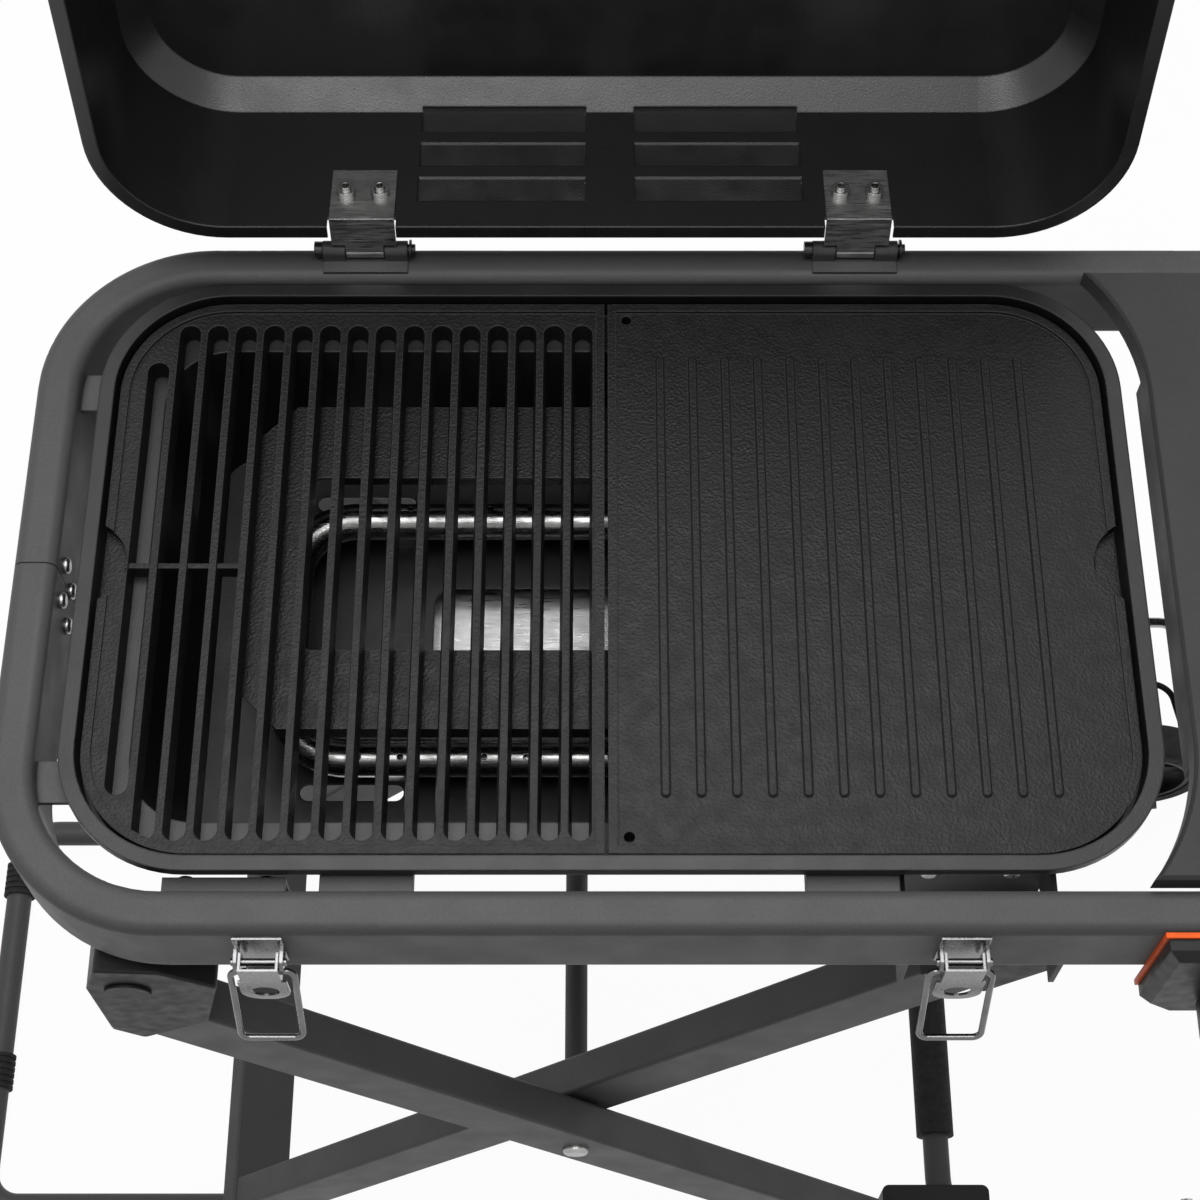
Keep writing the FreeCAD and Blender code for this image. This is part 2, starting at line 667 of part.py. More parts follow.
def rivet_part(outer, inner, place, y0, y1):
    """A sleeve about a rivet's axis, from y0 to y1 past the wall's inside."""
    return ring(outer, inner, place + vec(0, y0, 0), place + vec(0, y1, 0))


def lid_rivets():
    """Hollow rivets through the leaf and the wall."""
    parts = []
    for place in rivet_places():
        inner = rivet_part(RIVET_HEAD, RIVET_BORE, place, -6.0, -2.0)
        shank = rivet_part(RIVET_SHANK, RIVET_BORE, place, -8.5, SHEET)
        outer = rivet_part(RIVET_HEAD, RIVET_BORE, place, SHEET, SHEET + 1.5)
        parts.append(fuse([inner, shank, outer]))
    return group(parts)


def rivet_holes():
    """The holes that the rivets fill in the lid's wall."""
    holes = []
    for place in rivet_places():
        holes.append(rod(RIVET_SHANK, place - vec(0, 5, 0), place + vec(0, 5, 0)))
    return Part.makeCompound(holes)


def frame_leaf(x):
    """The leaf screwed to the rear tube, with two ears that hold the hinge pin."""
    a = x - 25.0
    b = x + 25.0
    plate = box(a, b, FRAME_REAR - TUBE_W + 4, FRAME_REAR - 5, FRAME_TOP, FRAME_TOP + 1.6)
    ears = []
    for e0 in (a, b - 13.2):
        base = box(e0, e0 + 13.2, HINGE_Y - 5, HINGE_Y + 5, FRAME_TOP, HINGE_Z)
        eye = rod(BARREL_R, vec(e0, HINGE_Y, HINGE_Z), vec(e0 + 13.2, HINGE_Y, HINGE_Z))
        ears.append(base.fuse(eye))
    leaf = fuse([plate] + ears)
    return leaf.cut(rod(3.0, vec(x - 40, HINGE_Y, HINGE_Z), vec(x + 40, HINGE_Y, HINGE_Z)))


def hinge_pin(x):
    shaft = rod(3.0, vec(x - 28, HINGE_Y, HINGE_Z), vec(x + 29.5, HINGE_Y, HINGE_Z))
    head = rod(4.6, vec(x - 30, HINGE_Y, HINGE_Z), vec(x - 25.2, HINGE_Y, HINGE_Z))
    return shaft.fuse(head).removeSplitter()


def hinge_clip(x):
    start = vec(x + 26.2, HINGE_Y, HINGE_Z)
    return ring(5.6, 3.0, start, start + vec(1.2, 0, 0))


def lid_handle():
    """A round grip bar along the lid's front, on two posts."""
    y = -(RIM_D / 2 - LIP) - 42.0
    z = LID_SEAT_Z + 58.0
    return rod(HANDLE_R, vec(-HANDLE_HALF, y, z), vec(HANDLE_HALF, y, z))


def handle_posts():
    parts = []
    wall = -(RIM_D / 2 - LIP)
    y = wall - 42.0
    z = LID_SEAT_Z + 58.0
    for side in (-1, 1):
        x = side * (HANDLE_HALF - 24.0)
        post = rod(8.0, vec(x, wall, z), vec(x, y + 2, z))
        base = rod(13.0, vec(x, wall, z), vec(x, wall - 4, z))
        collar = rod(14.0, vec(x - 11, y, z), vec(x + 11, y, z))
        post = fuse([post, base, collar])
        parts.append(post.cut(rod(HANDLE_R, vec(x - 30, y, z), vec(x + 30, y, z))))
    return group(parts)


def keeper(x):
    """A hook on the lid's front wall that reaches over the tube to the closed latch bail."""
    wall = -(RIM_D / 2 - LIP)
    z = LID_SEAT_Z
    foot = box(x - 12, x + 12, wall - 2.0, wall, z + 4, KEEPER_Z + 6)
    nose = box(x - 12, x + 12, KEEPER_Y, wall, KEEPER_Z - KEEPER_T, KEEPER_Z)
    lip = box(x - 12, x + 12, KEEPER_Y, KEEPER_Y + KEEPER_T, KEEPER_Z - KEEPER_T, KEEPER_Z + 5.0)
    return fuse([foot, nose, lip])


LATCH_FACE = FRAME_FRONT
LATCH_PIN_Z = FRAME_TOP - 22.0
LATCH_PIN_Y = LATCH_FACE - 9.0
BAIL_Z = LATCH_PIN_Z - 12.0
BAIL_Y = LATCH_PIN_Y - 1.0
BAIL_HALF = 16.8
BAIL_R = 1.8
BAIL_BEND = 5.0
BAIL_OUT = 19.0
BAIL_DROP = 56.0
BAIL_LENGTH = math.hypot(BAIL_OUT, BAIL_DROP)
BAIL_LEAN = math.degrees(math.atan2(BAIL_OUT, BAIL_DROP))
HOOK_LEAN = 8.0
LEVER_T = 1.4
TAB_HALF = 13.0
TAB_TOP = 16.0
TAB_LOW = 43.0
TAB_HOLE = 7.5
# the hooked wire stands a little behind and above the keeper's lip and nose
HOOK_Y = BAIL_Y + BAIL_LENGTH * math.sin(math.radians(HOOK_LEAN))
HOOK_Z = BAIL_Z + BAIL_LENGTH * math.cos(math.radians(HOOK_LEAN))
KEEPER_T = 2.4
KEEPER_Y = HOOK_Y - BAIL_R - 0.5 - KEEPER_T
KEEPER_Z = HOOK_Z - BAIL_R - 0.4


def latch_base(x):
    hw = LATCH_W / 2
    plate = box(x - hw, x + hw, LATCH_FACE - 1.6, LATCH_FACE, FRAME_TOP - 42, FRAME_TOP - 8)
    ears = []
    for a in (x - hw, x + hw - 2.0):
        ear = box(a, a + 2.0, LATCH_FACE - 9, LATCH_FACE, LATCH_PIN_Z - 4.5, LATCH_PIN_Z + 4.5)
        eye = rod(4.5, vec(a, LATCH_PIN_Y, LATCH_PIN_Z), vec(a + 2.0, LATCH_PIN_Y, LATCH_PIN_Z))
        ears.append(ear.fuse(eye))
    base = fuse([plate] + ears)
    return base.cut(rod(2.0, vec(x - 40, LATCH_PIN_Y, LATCH_PIN_Z), vec(x + 40, LATCH_PIN_Y, LATCH_PIN_Z)))


def latch_pin(x):
    hw = LATCH_W / 2 + 1.5
    return rod(2.0, vec(x - hw, LATCH_PIN_Y, LATCH_PIN_Z), vec(x + hw, LATCH_PIN_Y, LATCH_PIN_Z))


def latch_lever(x):
    """The lever hangs down from its pin: a folded head with two cheeks, and a round finger tab below."""
    hw = LATCH_W / 2 - 2.4
    front = LATCH_PIN_Y - 5.0
    bend = LATCH_PIN_Z - TAB_TOP
    tip = LATCH_PIN_Z - TAB_LOW
    head = box(x - hw, x + hw, front - LEVER_T, front, bend, LATCH_PIN_Z + 4)
    cheeks = []
    for a in (x - hw, x + hw - 1.6):
        cheeks.append(box(a, a + 1.6, front - LEVER_T, LATCH_PIN_Y + 4.2, bend, LATCH_PIN_Z + 4))
    tab = box(x - TAB_HALF, x + TAB_HALF, front - LEVER_T, front, tip, bend + 1.0)
    low_corners = []
    for edge in tab.Edges:
        middle = edge.CenterOfMass
        if abs(edge.BoundBox.YLength - LEVER_T) < 0.01 and middle.z < bend:
            low_corners.append(edge)
    tab = tab.makeFillet(TAB_HALF - 1.5, low_corners)
    hole_z = tip + TAB_HALF
    hole = rod(TAB_HOLE, vec(x, front - 9, hole_z), vec(x, front + 2, hole_z))
    lever = fuse([head, tab.cut(hole)] + cheeks)
    pin_hole = rod(
        2.0 + RUN_CLEAR, vec(x - 40, LATCH_PIN_Y, LATCH_PIN_Z), vec(x + 40, LATCH_PIN_Y, LATCH_PIN_Z))
    bail_hole = rod(BAIL_R + RUN_CLEAR, vec(x - 40, BAIL_Y, BAIL_Z), vec(x + 40, BAIL_Y, BAIL_Z))
    return lever.cut(pin_hole).cut(bail_hole)


def latch_bail(x):
    """A wire loop through the lever, hanging in front of it."""
    low = vec(0, -BAIL_OUT, -BAIL_DROP)
    a = vec(x - BAIL_HALF, BAIL_Y, BAIL_Z)
    b = vec(x + BAIL_HALF, BAIL_Y, BAIL_Z)
    inner_a = vec(x - 7.4, BAIL_Y, BAIL_Z)
    inner_b = vec(x + 7.4, BAIL_Y, BAIL_Z)
    return round_bar([inner_a, a, a + low, b + low, b, inner_b], BAIL_BEND, BAIL_R)


def leg_point(along, upper_leg_a):
    """A place on a leg's axis, measured from the centre pivot; positive goes down."""
    side = 1 if upper_leg_a else -1
    return PIVOT_X + side * along * LEG_COS, PIVOT_Z - along * LEG_SIN


def leg_box(along0, along1, half, y0, y1, is_a):
    """A bar along a leg's axis, from one distance along it to another."""
    bar = box(along0, along1, y0, y1, -half, half)
    angle = LEG_ANGLE if is_a else 180.0 - LEG_ANGLE
    bar.rotate(vec(0, 0, 0), vec(0, 1, 0), angle)
    bar.translate(vec(PIVOT_X, 0, PIVOT_Z))
    return bar


def leg_tube(is_a):
    front = LEG_A_FRONT if is_a else LEG_B_FRONT
    back = front + LEG_W
    low = LEG_A_LOW if is_a else LEG_B_LOW
    up = -LEG_UP + 20.0 if is_a else -LEG_UP - 8.0
    outer = leg_box(up, low, LEG_H / 2, front, back, is_a)
    lengths = [edge for edge in outer.Edges if edge.Length > 200]
    outer = outer.makeFillet(2.6, lengths)
    inner = leg_box(up - 1, low + 1, LEG_H / 2 - LEG_WALL, front + LEG_WALL, back - LEG_WALL, is_a)
    leg = outer.cut(inner)
    # a bush in the tube carries the pivot bolt
    bolt = PIVOT_BOLT / 2 if is_a else PIVOT_BOLT / 2 + RUN_CLEAR
    bush = rod(bolt + 3.0, vec(PIVOT_X, front + LEG_WALL, PIVOT_Z), vec(PIVOT_X, back - LEG_WALL, PIVOT_Z))
    leg = leg.fuse(bush)
    leg = leg.cut(rod(bolt, vec(PIVOT_X, front - 5, PIVOT_Z), vec(PIVOT_X, back + 5, PIVOT_Z)))
    return leg.removeSplitter()


def sliding_cap():
    """A plastic cap over leg B's upper end, rounded at the tip."""
    front = LEG_B_FRONT
    back = LEG_B_BACK
    x, z = leg_point(-LEG_UP, False)
    outer = leg_box(-LEG_UP, -LEG_UP + 52.0, LEG_H / 2 + CAP_SKIN, front - CAP_SKIN, back + CAP_SKIN, False)
    round_end = rod(LEG_H / 2 + CAP_SKIN, vec(x, front - CAP_SKIN, z), vec(x, back + CAP_SKIN, z))
    cap = outer.fuse(round_end)
    return cap.cut(leg_box(-LEG_UP - 8.0, -LEG_UP + 60, LEG_H / 2, front, back, False)).removeSplitter()


def pivot_cap():
    """The moulded end of leg A: a socket for the tube below, and an ear above for the top bolt."""
    front = LEG_A_FRONT - CAP_SKIN
    back = LEG_A_BACK + CAP_SKIN
    mouth_x, mouth_z = leg_point(-LEG_UP + CAP_LENGTH, True)
    reach = LEG_H / 2 + CAP_SKIN
    left = LEG_TOP_X - 10.0
    outline = [
        vec(TOP_X - 13, front, TOP_Z + 34), vec(left, front, TOP_Z + 1), vec(left, front, LEG_TOP_Z - 34),
        vec(mouth_x - reach * LEG_SIN, front, mouth_z - reach * LEG_COS),
        vec(mouth_x + reach * LEG_SIN, front, mouth_z + reach * LEG_COS),
        vec(TOP_X + 50, front, TOP_Z + 5), vec(TOP_X + 22, front, TOP_Z + 30)]
    cap = Part.Face(Part.makePolygon(outline + [outline[0]])).extrude(vec(0, back - front, 0))
    corners = [edge for edge in cap.Edges if abs(edge.BoundBox.YLength - (back - front)) < 0.01]
    cap = cap.makeFillet(4.0, corners)
    face = [edge for edge in cap.Edges if abs(edge.BoundBox.YMax - front) < 0.01]
    cap = cap.makeChamfer(1.2, face)
    cap = cap.cut(leg_box(-LEG_UP + 20.0, -LEG_UP + 90, LEG_H / 2, LEG_A_FRONT, LEG_A_BACK, True))
    turn = TOP_BOLT / 2 + RUN_CLEAR
    return cap.cut(rod(turn, vec(TOP_X, front - 9, TOP_Z), vec(TOP_X, back + 9, TOP_Z))).removeSplitter()


BRACKET_Y = LEG_A_BACK + 2.8
BRACKET_T = 3.0
BRACKET_X0 = TOP_X + 31.0
BRACKET_X1 = TOP_X + 96.0


def top_bolt():
    """Bolt with a wide disc head that carries leg A on its bracket."""
    y = LEG_A_FRONT - CAP_SKIN - 0.3
    head = Part.makeCylinder(DISC_R, 1.8, vec(TOP_X, y, TOP_Z), vec(0, -1, 0))
    shaft = rod(TOP_BOLT / 2, vec(TOP_X, y, TOP_Z), vec(TOP_X, BRACKET_Y + 10.0, TOP_Z))
    nut = rod(7.0, vec(TOP_X, BRACKET_Y + BRACKET_T, TOP_Z), vec(TOP_X, BRACKET_Y + 9.0, TOP_Z))
    return fuse([head, shaft, nut])


BRACKET_TOP_FRONT = RIM_TOP - LIP - 6.0
BRACKET_TOP_REAR = PLATE_LOW - SHEET - 6.0


def pivot_bracket(top):
    """The folded plate behind leg A's end; its upper part is screwed to the tube's inner face."""
    low = TUBE_BOTTOM - 4.0
    outline = [
        vec(TOP_X - 22, BRACKET_Y, TOP_Z - 18), vec(TOP_X + 16, BRACKET_Y, TOP_Z - 18),
        vec(BRACKET_X1, BRACKET_Y, low - 24), vec(BRACKET_X1, BRACKET_Y, top),
        vec(BRACKET_X0, BRACKET_Y, top),
        vec(BRACKET_X0, BRACKET_Y, low), vec(TOP_X - 22, BRACKET_Y, low)]
    plate = Part.Face(Part.makePolygon(outline + [outline[0]])).extrude(vec(0, BRACKET_T, 0))
    face_y = FRAME_FRONT + TUBE_W
    flange = box(BRACKET_X0, BRACKET_X1, face_y, BRACKET_Y + BRACKET_T, top - BRACKET_T, top)
    whole = fuse([plate, flange])
    return whole.cut(rod(TOP_BOLT / 2, vec(TOP_X, BRACKET_Y - 5, TOP_Z), vec(TOP_X, BRACKET_Y + 9, TOP_Z)))


def rest_bracket():
    """The plate that stands behind leg B's sliding upper end."""
    x0 = 157.0
    x1 = 243.0
    y0 = LEG_B_BACK + 2.9
    plate = box(x0, x1, y0, y0 + 3.0, LEG_TOP_Z - 14, TUBE_BOTTOM)
    flange = box(x0, x1, FRAME_FRONT + 3, FRAME_FRONT + TUBE_W + 2, TUBE_BOTTOM - 3.0, TUBE_BOTTOM)
    cheeks = []
    for a in (x0, x1 - 3.0):
        cheeks.append(box(a, a + 3.0, FRAME_FRONT + 3, y0 + 3.0, TUBE_BOTTOM - 34.0, TUBE_BOTTOM))
    return fuse([plate, flange] + cheeks)


def bracket_screws():
    parts = []
    for x in (BRACKET_X0 + 11, BRACKET_X1 - 11):
        for top in (BRACKET_TOP_FRONT, BRACKET_TOP_REAR):
            place = vec(x, BRACKET_Y + BRACKET_T, top - 9.0)
            screw = dome_screw(4.8, 3.2, place, vec(0, 1, 0))
            parts.append(screw if top == BRACKET_TOP_FRONT else mirror_y(screw))
    for x in (177.0, 223.0):
        place = vec(x, LEG_B_BACK + 2.9, TUBE_BOTTOM - 22.0)
        screw = dome_screw(4.8, 2.6, place, vec(0, -1, 0))
        parts.extend([screw, mirror_y(screw)])
    return group(parts)


def pivot_bolt():
    y0 = LEG_A_FRONT
    head = dome_screw(9.0, 4.5, vec(PIVOT_X, y0, PIVOT_Z), vec(0, -1, 0))
    shaft = rod(PIVOT_BOLT / 2, vec(PIVOT_X, y0, PIVOT_Z), vec(PIVOT_X, LEG_B_BACK + 20, PIVOT_Z))
    return fuse([head, shaft])


def leg_spacer():
    y0 = LEG_A_BACK
    y1 = LEG_B_FRONT - 0.1
    return ring(16.0, PIVOT_BOLT / 2, vec(PIVOT_X, y0, PIVOT_Z), vec(PIVOT_X, y1, PIVOT_Z))


def pivot_tube():
    y0 = LEG_B_BACK + 0.3
    y1 = 2 * FRAME_MID_Y - y0
    return ring(PIVOT_TUBE / 2, PIVOT_BOLT / 2, vec(PIVOT_X, y0, PIVOT_Z), vec(PIVOT_X, y1, PIVOT_Z))


def foot_block():
    """The block on leg A's lower end, which also holds the wheel yoke."""
    x0 = 232.0
    x1 = 322.0
    block = box(x0, x1, LEG_A_FRONT - 3, LEG_A_BACK + 26, 0.0, 46.0)
    uprights = [edge for edge in block.Edges if edge.Length > 44 and edge.BoundBox.ZLength > 44]
    block = block.makeFillet(6.0, uprights)
    block = block.cut(leg_box(LEG_A_LOW - 120, LEG_A_LOW, LEG_H / 2, LEG_A_FRONT, LEG_A_BACK, True))
    return block.cut(yoke_bar()).removeSplitter()


def yoke_points():
    half = YOKE_HALF
    low = 1.0 + FOOT_TUBE / 2 + 4.0
    base_x = YOKE_X
    return [
        vec(WHEEL_X + 14, FRAME_MID_Y - half, WHEEL_R), vec(base_x, FRAME_MID_Y - half, low),
        vec(base_x, FRAME_MID_Y + half, low), vec(WHEEL_X + 14, FRAME_MID_Y + half, WHEEL_R)]


def yoke_bar():
    return round_bar(yoke_points(), BEND_R, FOOT_TUBE / 2)


def make_yoke():
    """The bent tube that carries the wheels, held in leg A's foot blocks."""
    yoke = round_tube(yoke_points(), BEND_R, FOOT_TUBE / 2, 2.0)
    for side in (-1, 1):
        y = FRAME_MID_Y + side * YOKE_HALF
        boss = rod(AXLE / 2 + 3.5, vec(WHEEL_X, y - 9, WHEEL_R), vec(WHEEL_X, y + 9, WHEEL_R))
        yoke = yoke.fuse(boss)
        yoke = yoke.cut(rod(AXLE / 2, vec(WHEEL_X, y - 30, WHEEL_R), vec(WHEEL_X, y + 30, WHEEL_R)))
    return yoke.removeSplitter()


WHEEL_IN = YOKE_HALF + FOOT_TUBE / 2 + 4.0
AXLE_OUT = WHEEL_IN + WHEEL_W + 5.0


def axle(front):
    side = -1 if front else 1
    y0 = FRAME_MID_Y + side * (YOKE_HALF - 14)
    y1 = FRAME_MID_Y + side * AXLE_OUT
    shaft = rod(AXLE / 2, vec(WHEEL_X, y0, WHEEL_R), vec(WHEEL_X, y1, WHEEL_R))
    head = rod(9.0, vec(WHEEL_X, y1 - side * 3.5, WHEEL_R), vec(WHEEL_X, y1, WHEEL_R))
    return shaft.fuse(head).removeSplitter()


def wheel_ring(front, outer, inner, inset=0.0):
    side = -1 if front else 1
    y0 = FRAME_MID_Y + side * (WHEEL_IN + inset)
    y1 = FRAME_MID_Y + side * (WHEEL_IN + WHEEL_W - inset)
    return ring(outer, inner, vec(WHEEL_X, y0, WHEEL_R), vec(WHEEL_X, y1, WHEEL_R))


def wheel_tyre(front):
    tyre = wheel_ring(front, WHEEL_R, WHEEL_R - 13.0)
    edges = [edge for edge in tyre.Edges if edge.Length > 2 * math.pi * (WHEEL_R - 1)]
    return tyre.makeFillet(5.0, edges)


def wheel_hub(front):
    side = -1 if front else 1
    rim = wheel_ring(front, WHEEL_R - 13.0, WHEEL_R - 18.0, 1.0)
    centre = wheel_ring(front, 12.0, AXLE / 2 + RUN_CLEAR)
    mid = FRAME_MID_Y + side * (WHEEL_IN + WHEEL_W / 2)
    spokes = []
    for index in range(6):
        spoke = box(9.0, WHEEL_R - 16.0, -4.0, 4.0, -5.0, 5.0)
        spoke.rotate(vec(0, 0, 0), vec(0, 1, 0), 60.0 * index)
        spoke.translate(vec(WHEEL_X, mid, WHEEL_R))
        spokes.append(spoke)
    hub = fuse([rim, centre] + spokes)
    y0 = mid - WHEEL_W
    y1 = mid + WHEEL_W
    return hub.cut(rod(AXLE / 2 + RUN_CLEAR, vec(WHEEL_X, y0, WHEEL_R), vec(WHEEL_X, y1, WHEEL_R)))


def yoke_grip():
    x = YOKE_X
    low = 1.0 + FOOT_TUBE / 2 + 4.0
    y0 = FRAME_MID_Y - GRIP_L / 2 + 10
    y1 = FRAME_MID_Y + GRIP_L / 2 + 10
    return ring(GRIP_R, FOOT_TUBE / 2, vec(x, y0, low), vec(x, y1, low))


def foot_bar():
    """The rectangular bar across leg B's lower ends."""
    y0 = LEG_B_FRONT
    y1 = 2 * FRAME_MID_Y - LEG_B_FRONT
    bar = leg_box(LEG_B_LOW, LEG_B_LOW + BAR_T, BAR_W / 2, y0, y1, False)
    lengths = [edge for edge in bar.Edges if edge.Length > 200]
    bar = bar.makeFillet(2.5, lengths)
    inner = leg_box(LEG_B_LOW + 2, LEG_B_LOW + BAR_T - 2, BAR_W / 2 - 2, y0 - 1, y1 + 1, False)
    return bar.cut(inner)


def bar_plugs():
    y0 = LEG_B_FRONT
    plug = leg_box(LEG_B_LOW + 2, LEG_B_LOW + BAR_T - 2, BAR_W / 2 - 2, y0, y0 + 14, False)
    head = leg_box(LEG_B_LOW, LEG_B_LOW + BAR_T, BAR_W / 2, y0 - 3, y0, False)
    plug = fuse([plug, head])
    return group([plug, mirror_y(plug)])


def hoop():
    """The U-shaped foot tube in front of the foot bar's left side."""
    z = RING_R
    inner_x = leg_point(LEG_B_LOW, False)[0] + 30.0
    half = HOOP_HALF
    points = [
        vec(inner_x, FRAME_MID_Y - half, z), vec(HOOP_X, FRAME_MID_Y - half, z),
        vec(HOOP_X, FRAME_MID_Y + half, z), vec(inner_x, FRAME_MID_Y + half, z)]
    tube = round_tube(points, HOOP_BEND, FOOT_TUBE / 2, 2.0)
    bar = leg_box(LEG_B_LOW - 60, LEG_B_LOW + BAR_T, BAR_W, FRAME_MID_Y - 400, FRAME_MID_Y + 400, False)
    return tube.cut(bar)


def hoop_rings():
    """Two ribbed rubber sleeves on the hoop."""
    parts = []
    for y in (-58.0, 119.0):
        sleeve = ring(RING_R - 1.2, FOOT_TUBE / 2, vec(HOOP_X, y - 15, RING_R), vec(HOOP_X, y + 15, RING_R))
        ribs = []
        for index in range(6):
            a = y - 15 + index * 5.4
            ribs.append(ring(RING_R, FOOT_TUBE / 2, vec(HOOP_X, a, RING_R), vec(HOOP_X, a + 3.0, RING_R)))
        parts.append(fuse([sleeve] + ribs))
    return group(parts)


def shelf_outline(inset, z):
    """The shelf's plan: it lies between the tubes and follows the firebox on its left side."""
    y0 = FRAME_FRONT + TUBE_W + 1.0 + inset
    y1 = FRAME_REAR - TUBE_W - 1.0 - inset
    x1 = FRAME_RIGHT - TUBE_W - 1.0 - inset
    x0 = SHELF_LEFT + inset
    tip = SHELF_LEFT - 31.0 + inset
    turn = 84.0
    r = 76.0 - inset
    front_start = vec(tip + 2.0, y0, z)
    rear_start = vec(tip + 2.0, y1, z)
    front_mid = vec(x0 - 9.0, y0 + 34.0, z)
    rear_mid = vec(x0 - 9.0, y1 - 34.0, z)
    front_end = vec(x0, y0 + turn, z)
    rear_end = vec(x0, y1 - turn, z)
    s = r * (1 - math.sqrt(0.5))
    edges = [
        Part.makeLine(front_start, vec(x1 - r, y0, z)),
        Part.Arc(vec(x1 - r, y0, z), vec(x1 - s, y0 + s, z), vec(x1, y0 + r, z)).toShape(),
        Part.makeLine(vec(x1, y0 + r, z), vec(x1, y1 - r, z)),
        Part.Arc(vec(x1, y1 - r, z), vec(x1 - s, y1 - s, z), vec(x1 - r, y1, z)).toShape(),
        Part.makeLine(vec(x1 - r, y1, z), rear_start),
        Part.Arc(rear_start, rear_mid, rear_end).toShape(),
        Part.makeLine(rear_end, front_end),
        Part.Arc(front_end, front_mid, front_start).toShape()]
    return Part.Wire(edges)


def make_shelf():
    """An inverted sheet tray that stands a little above the frame."""
    depth = 14.0
    outer = Part.Face(shelf_outline(0.0, SHELF_TOP - depth)).extrude(vec(0, 0, depth))
    rim = [edge for edge in outer.Edges if abs(edge.BoundBox.ZMin - SHELF_TOP) < 1e-6]
    outer = outer.makeChamfer(2.0, rim)
    inner = Part.Face(shelf_outline(2.0, SHELF_TOP - depth - 1)).extrude(vec(0, 0, depth - 1.0))
    shelf = outer.cut(inner)
    skirt = box(SHELF_LEFT, SHELF_LEFT + 2.0, -126.0, 117.0, SHELF_TOP - SHELF_RIM, SHELF_TOP - depth + 2)
    return shelf.fuse(skirt).removeSplitter()


def shelf_rails():
    """Two angle strips between the tubes that carry the shelf."""
    parts = []
    for x in (350.0, 420.0):
        y0 = FRAME_FRONT + TUBE_W
        y1 = FRAME_REAR - TUBE_W
        top = SHELF_TOP - 2.0
        web = box(x, x + 2.5, y0 + 6, y1 - 6, top - 16, top)
        cap = box(x, x + 24, y0 + 6, y1 - 6, top - 2.5, top)
        feet = [
            box(x, x + 24, y0, y0 + 6, top - 30, top - 18), box(x, x + 24, y1 - 6, y1, top - 30, top - 18)]
        ties = [
            box(x, x + 2.5, y0 + 2, y0 + 8, top - 30, top - 13),
            box(x, x + 2.5, y1 - 8, y1 - 2, top - 30, top - 13)]
        parts.append(fuse([web, cap] + feet + ties))
    return group(parts)


def housing_profile(x0, x1, z0, z1, chamfer):
    points = [
        vec(x0 + chamfer, 0, z0), vec(x1 - chamfer, 0, z0), vec(x1, 0, z0 + chamfer), vec(x1, 0, z1),
        vec(x0, 0, z1), vec(x0, 0, z0 + chamfer)]
    return Part.Face(Part.makePolygon(points + [points[0]]))


def make_housing():
    """The black control box in front of the front tube."""
    z0 = FRAME_TOP - HOUSING_DROP
    z1 = FRAME_TOP - 3.0
    face = housing_profile(HOUSING_LEFT, HOUSING_RIGHT, z0, z1, 16.0)
    face.translate(vec(0, FRAME_FRONT, 0))
    body = face.extrude(vec(0, HOUSING_FRONT - FRAME_FRONT, 0))
    front = [edge for edge in body.Edges if abs(edge.BoundBox.YMax - HOUSING_FRONT) < 1e-6]
    body = body.makeChamfer(5.0, front)
    hollow = housing_profile(HOUSING_LEFT + 2.5, HOUSING_RIGHT - 2.5, z0 + 2.5, z1 - 2.5, 15.0)
    hollow.translate(vec(0, FRAME_FRONT + 1, 0))
    body = body.cut(hollow.extrude(vec(0, HOUSING_FRONT + 6.0 - FRAME_FRONT, 0)))
    return body.cut(rod(5.6, vec(KNOB_X, HOUSING_FRONT - 5, KNOB_Z), vec(KNOB_X, FRAME_FRONT + 5, KNOB_Z)))


def make_trim():
    """A thin strip behind the control box, along its top and left edge at the tube."""
    z0 = FRAME_TOP - HOUSING_DROP + 16.0
    z1 = FRAME_TOP - 3.0
    y1 = FRAME_FRONT
    y0 = y1 - TRIM_DEPTH
    top = box(HOUSING_LEFT - TRIM_OUT, HOUSING_RIGHT, y0, y1, z1, z1 + TRIM_OUT)
    left = box(HOUSING_LEFT - TRIM_OUT, HOUSING_LEFT, y0, y1, z0, z1 + TRIM_OUT)
    return fuse([top, left])


def make_knob():
    y0 = HOUSING_FRONT - KNOB_GAP
    y1 = y0 - KNOB_DEPTH
    body = rod(KNOB_R, vec(KNOB_X, y0, KNOB_Z), vec(KNOB_X, y1, KNOB_Z))
    front = [edge for edge in body.Edges if abs(edge.BoundBox.YMax - y1) < 1e-6]
    body = body.makeChamfer(3.0, front)
    flats = []
    for index in range(8):
        cut = rod(5.0, vec(0, y0 + 1, KNOB_R + 2.8), vec(0, y1 - 1, KNOB_R + 2.8))
        cut.rotate(vec(0, 0, 0), vec(0, 1, 0), 45.0 * index + 22.5)
        cut.translate(vec(KNOB_X, 0, KNOB_Z))
        flats.append(cut)
    body = body.cut(Part.makeCompound(flats))
    mark = box(KNOB_X - 1.3, KNOB_X + 1.3, y1 - KNOB_MARK, y1 + 2, KNOB_Z + 7, KNOB_Z + 21)
    body = body.fuse(mark)
    bore = rod(STEM_R, vec(KNOB_X, y0 + 1, KNOB_Z), vec(KNOB_X, y1 + 5, KNOB_Z))
    return body.cut(bore).removeSplitter()


def valve_stem():
    """The stem that the knob sits on; it turns in the valve's body."""
    return rod(STEM_R, vec(KNOB_X, HOUSING_FRONT - 19, KNOB_Z), vec(KNOB_X, FRAME_FRONT + 12, KNOB_Z))


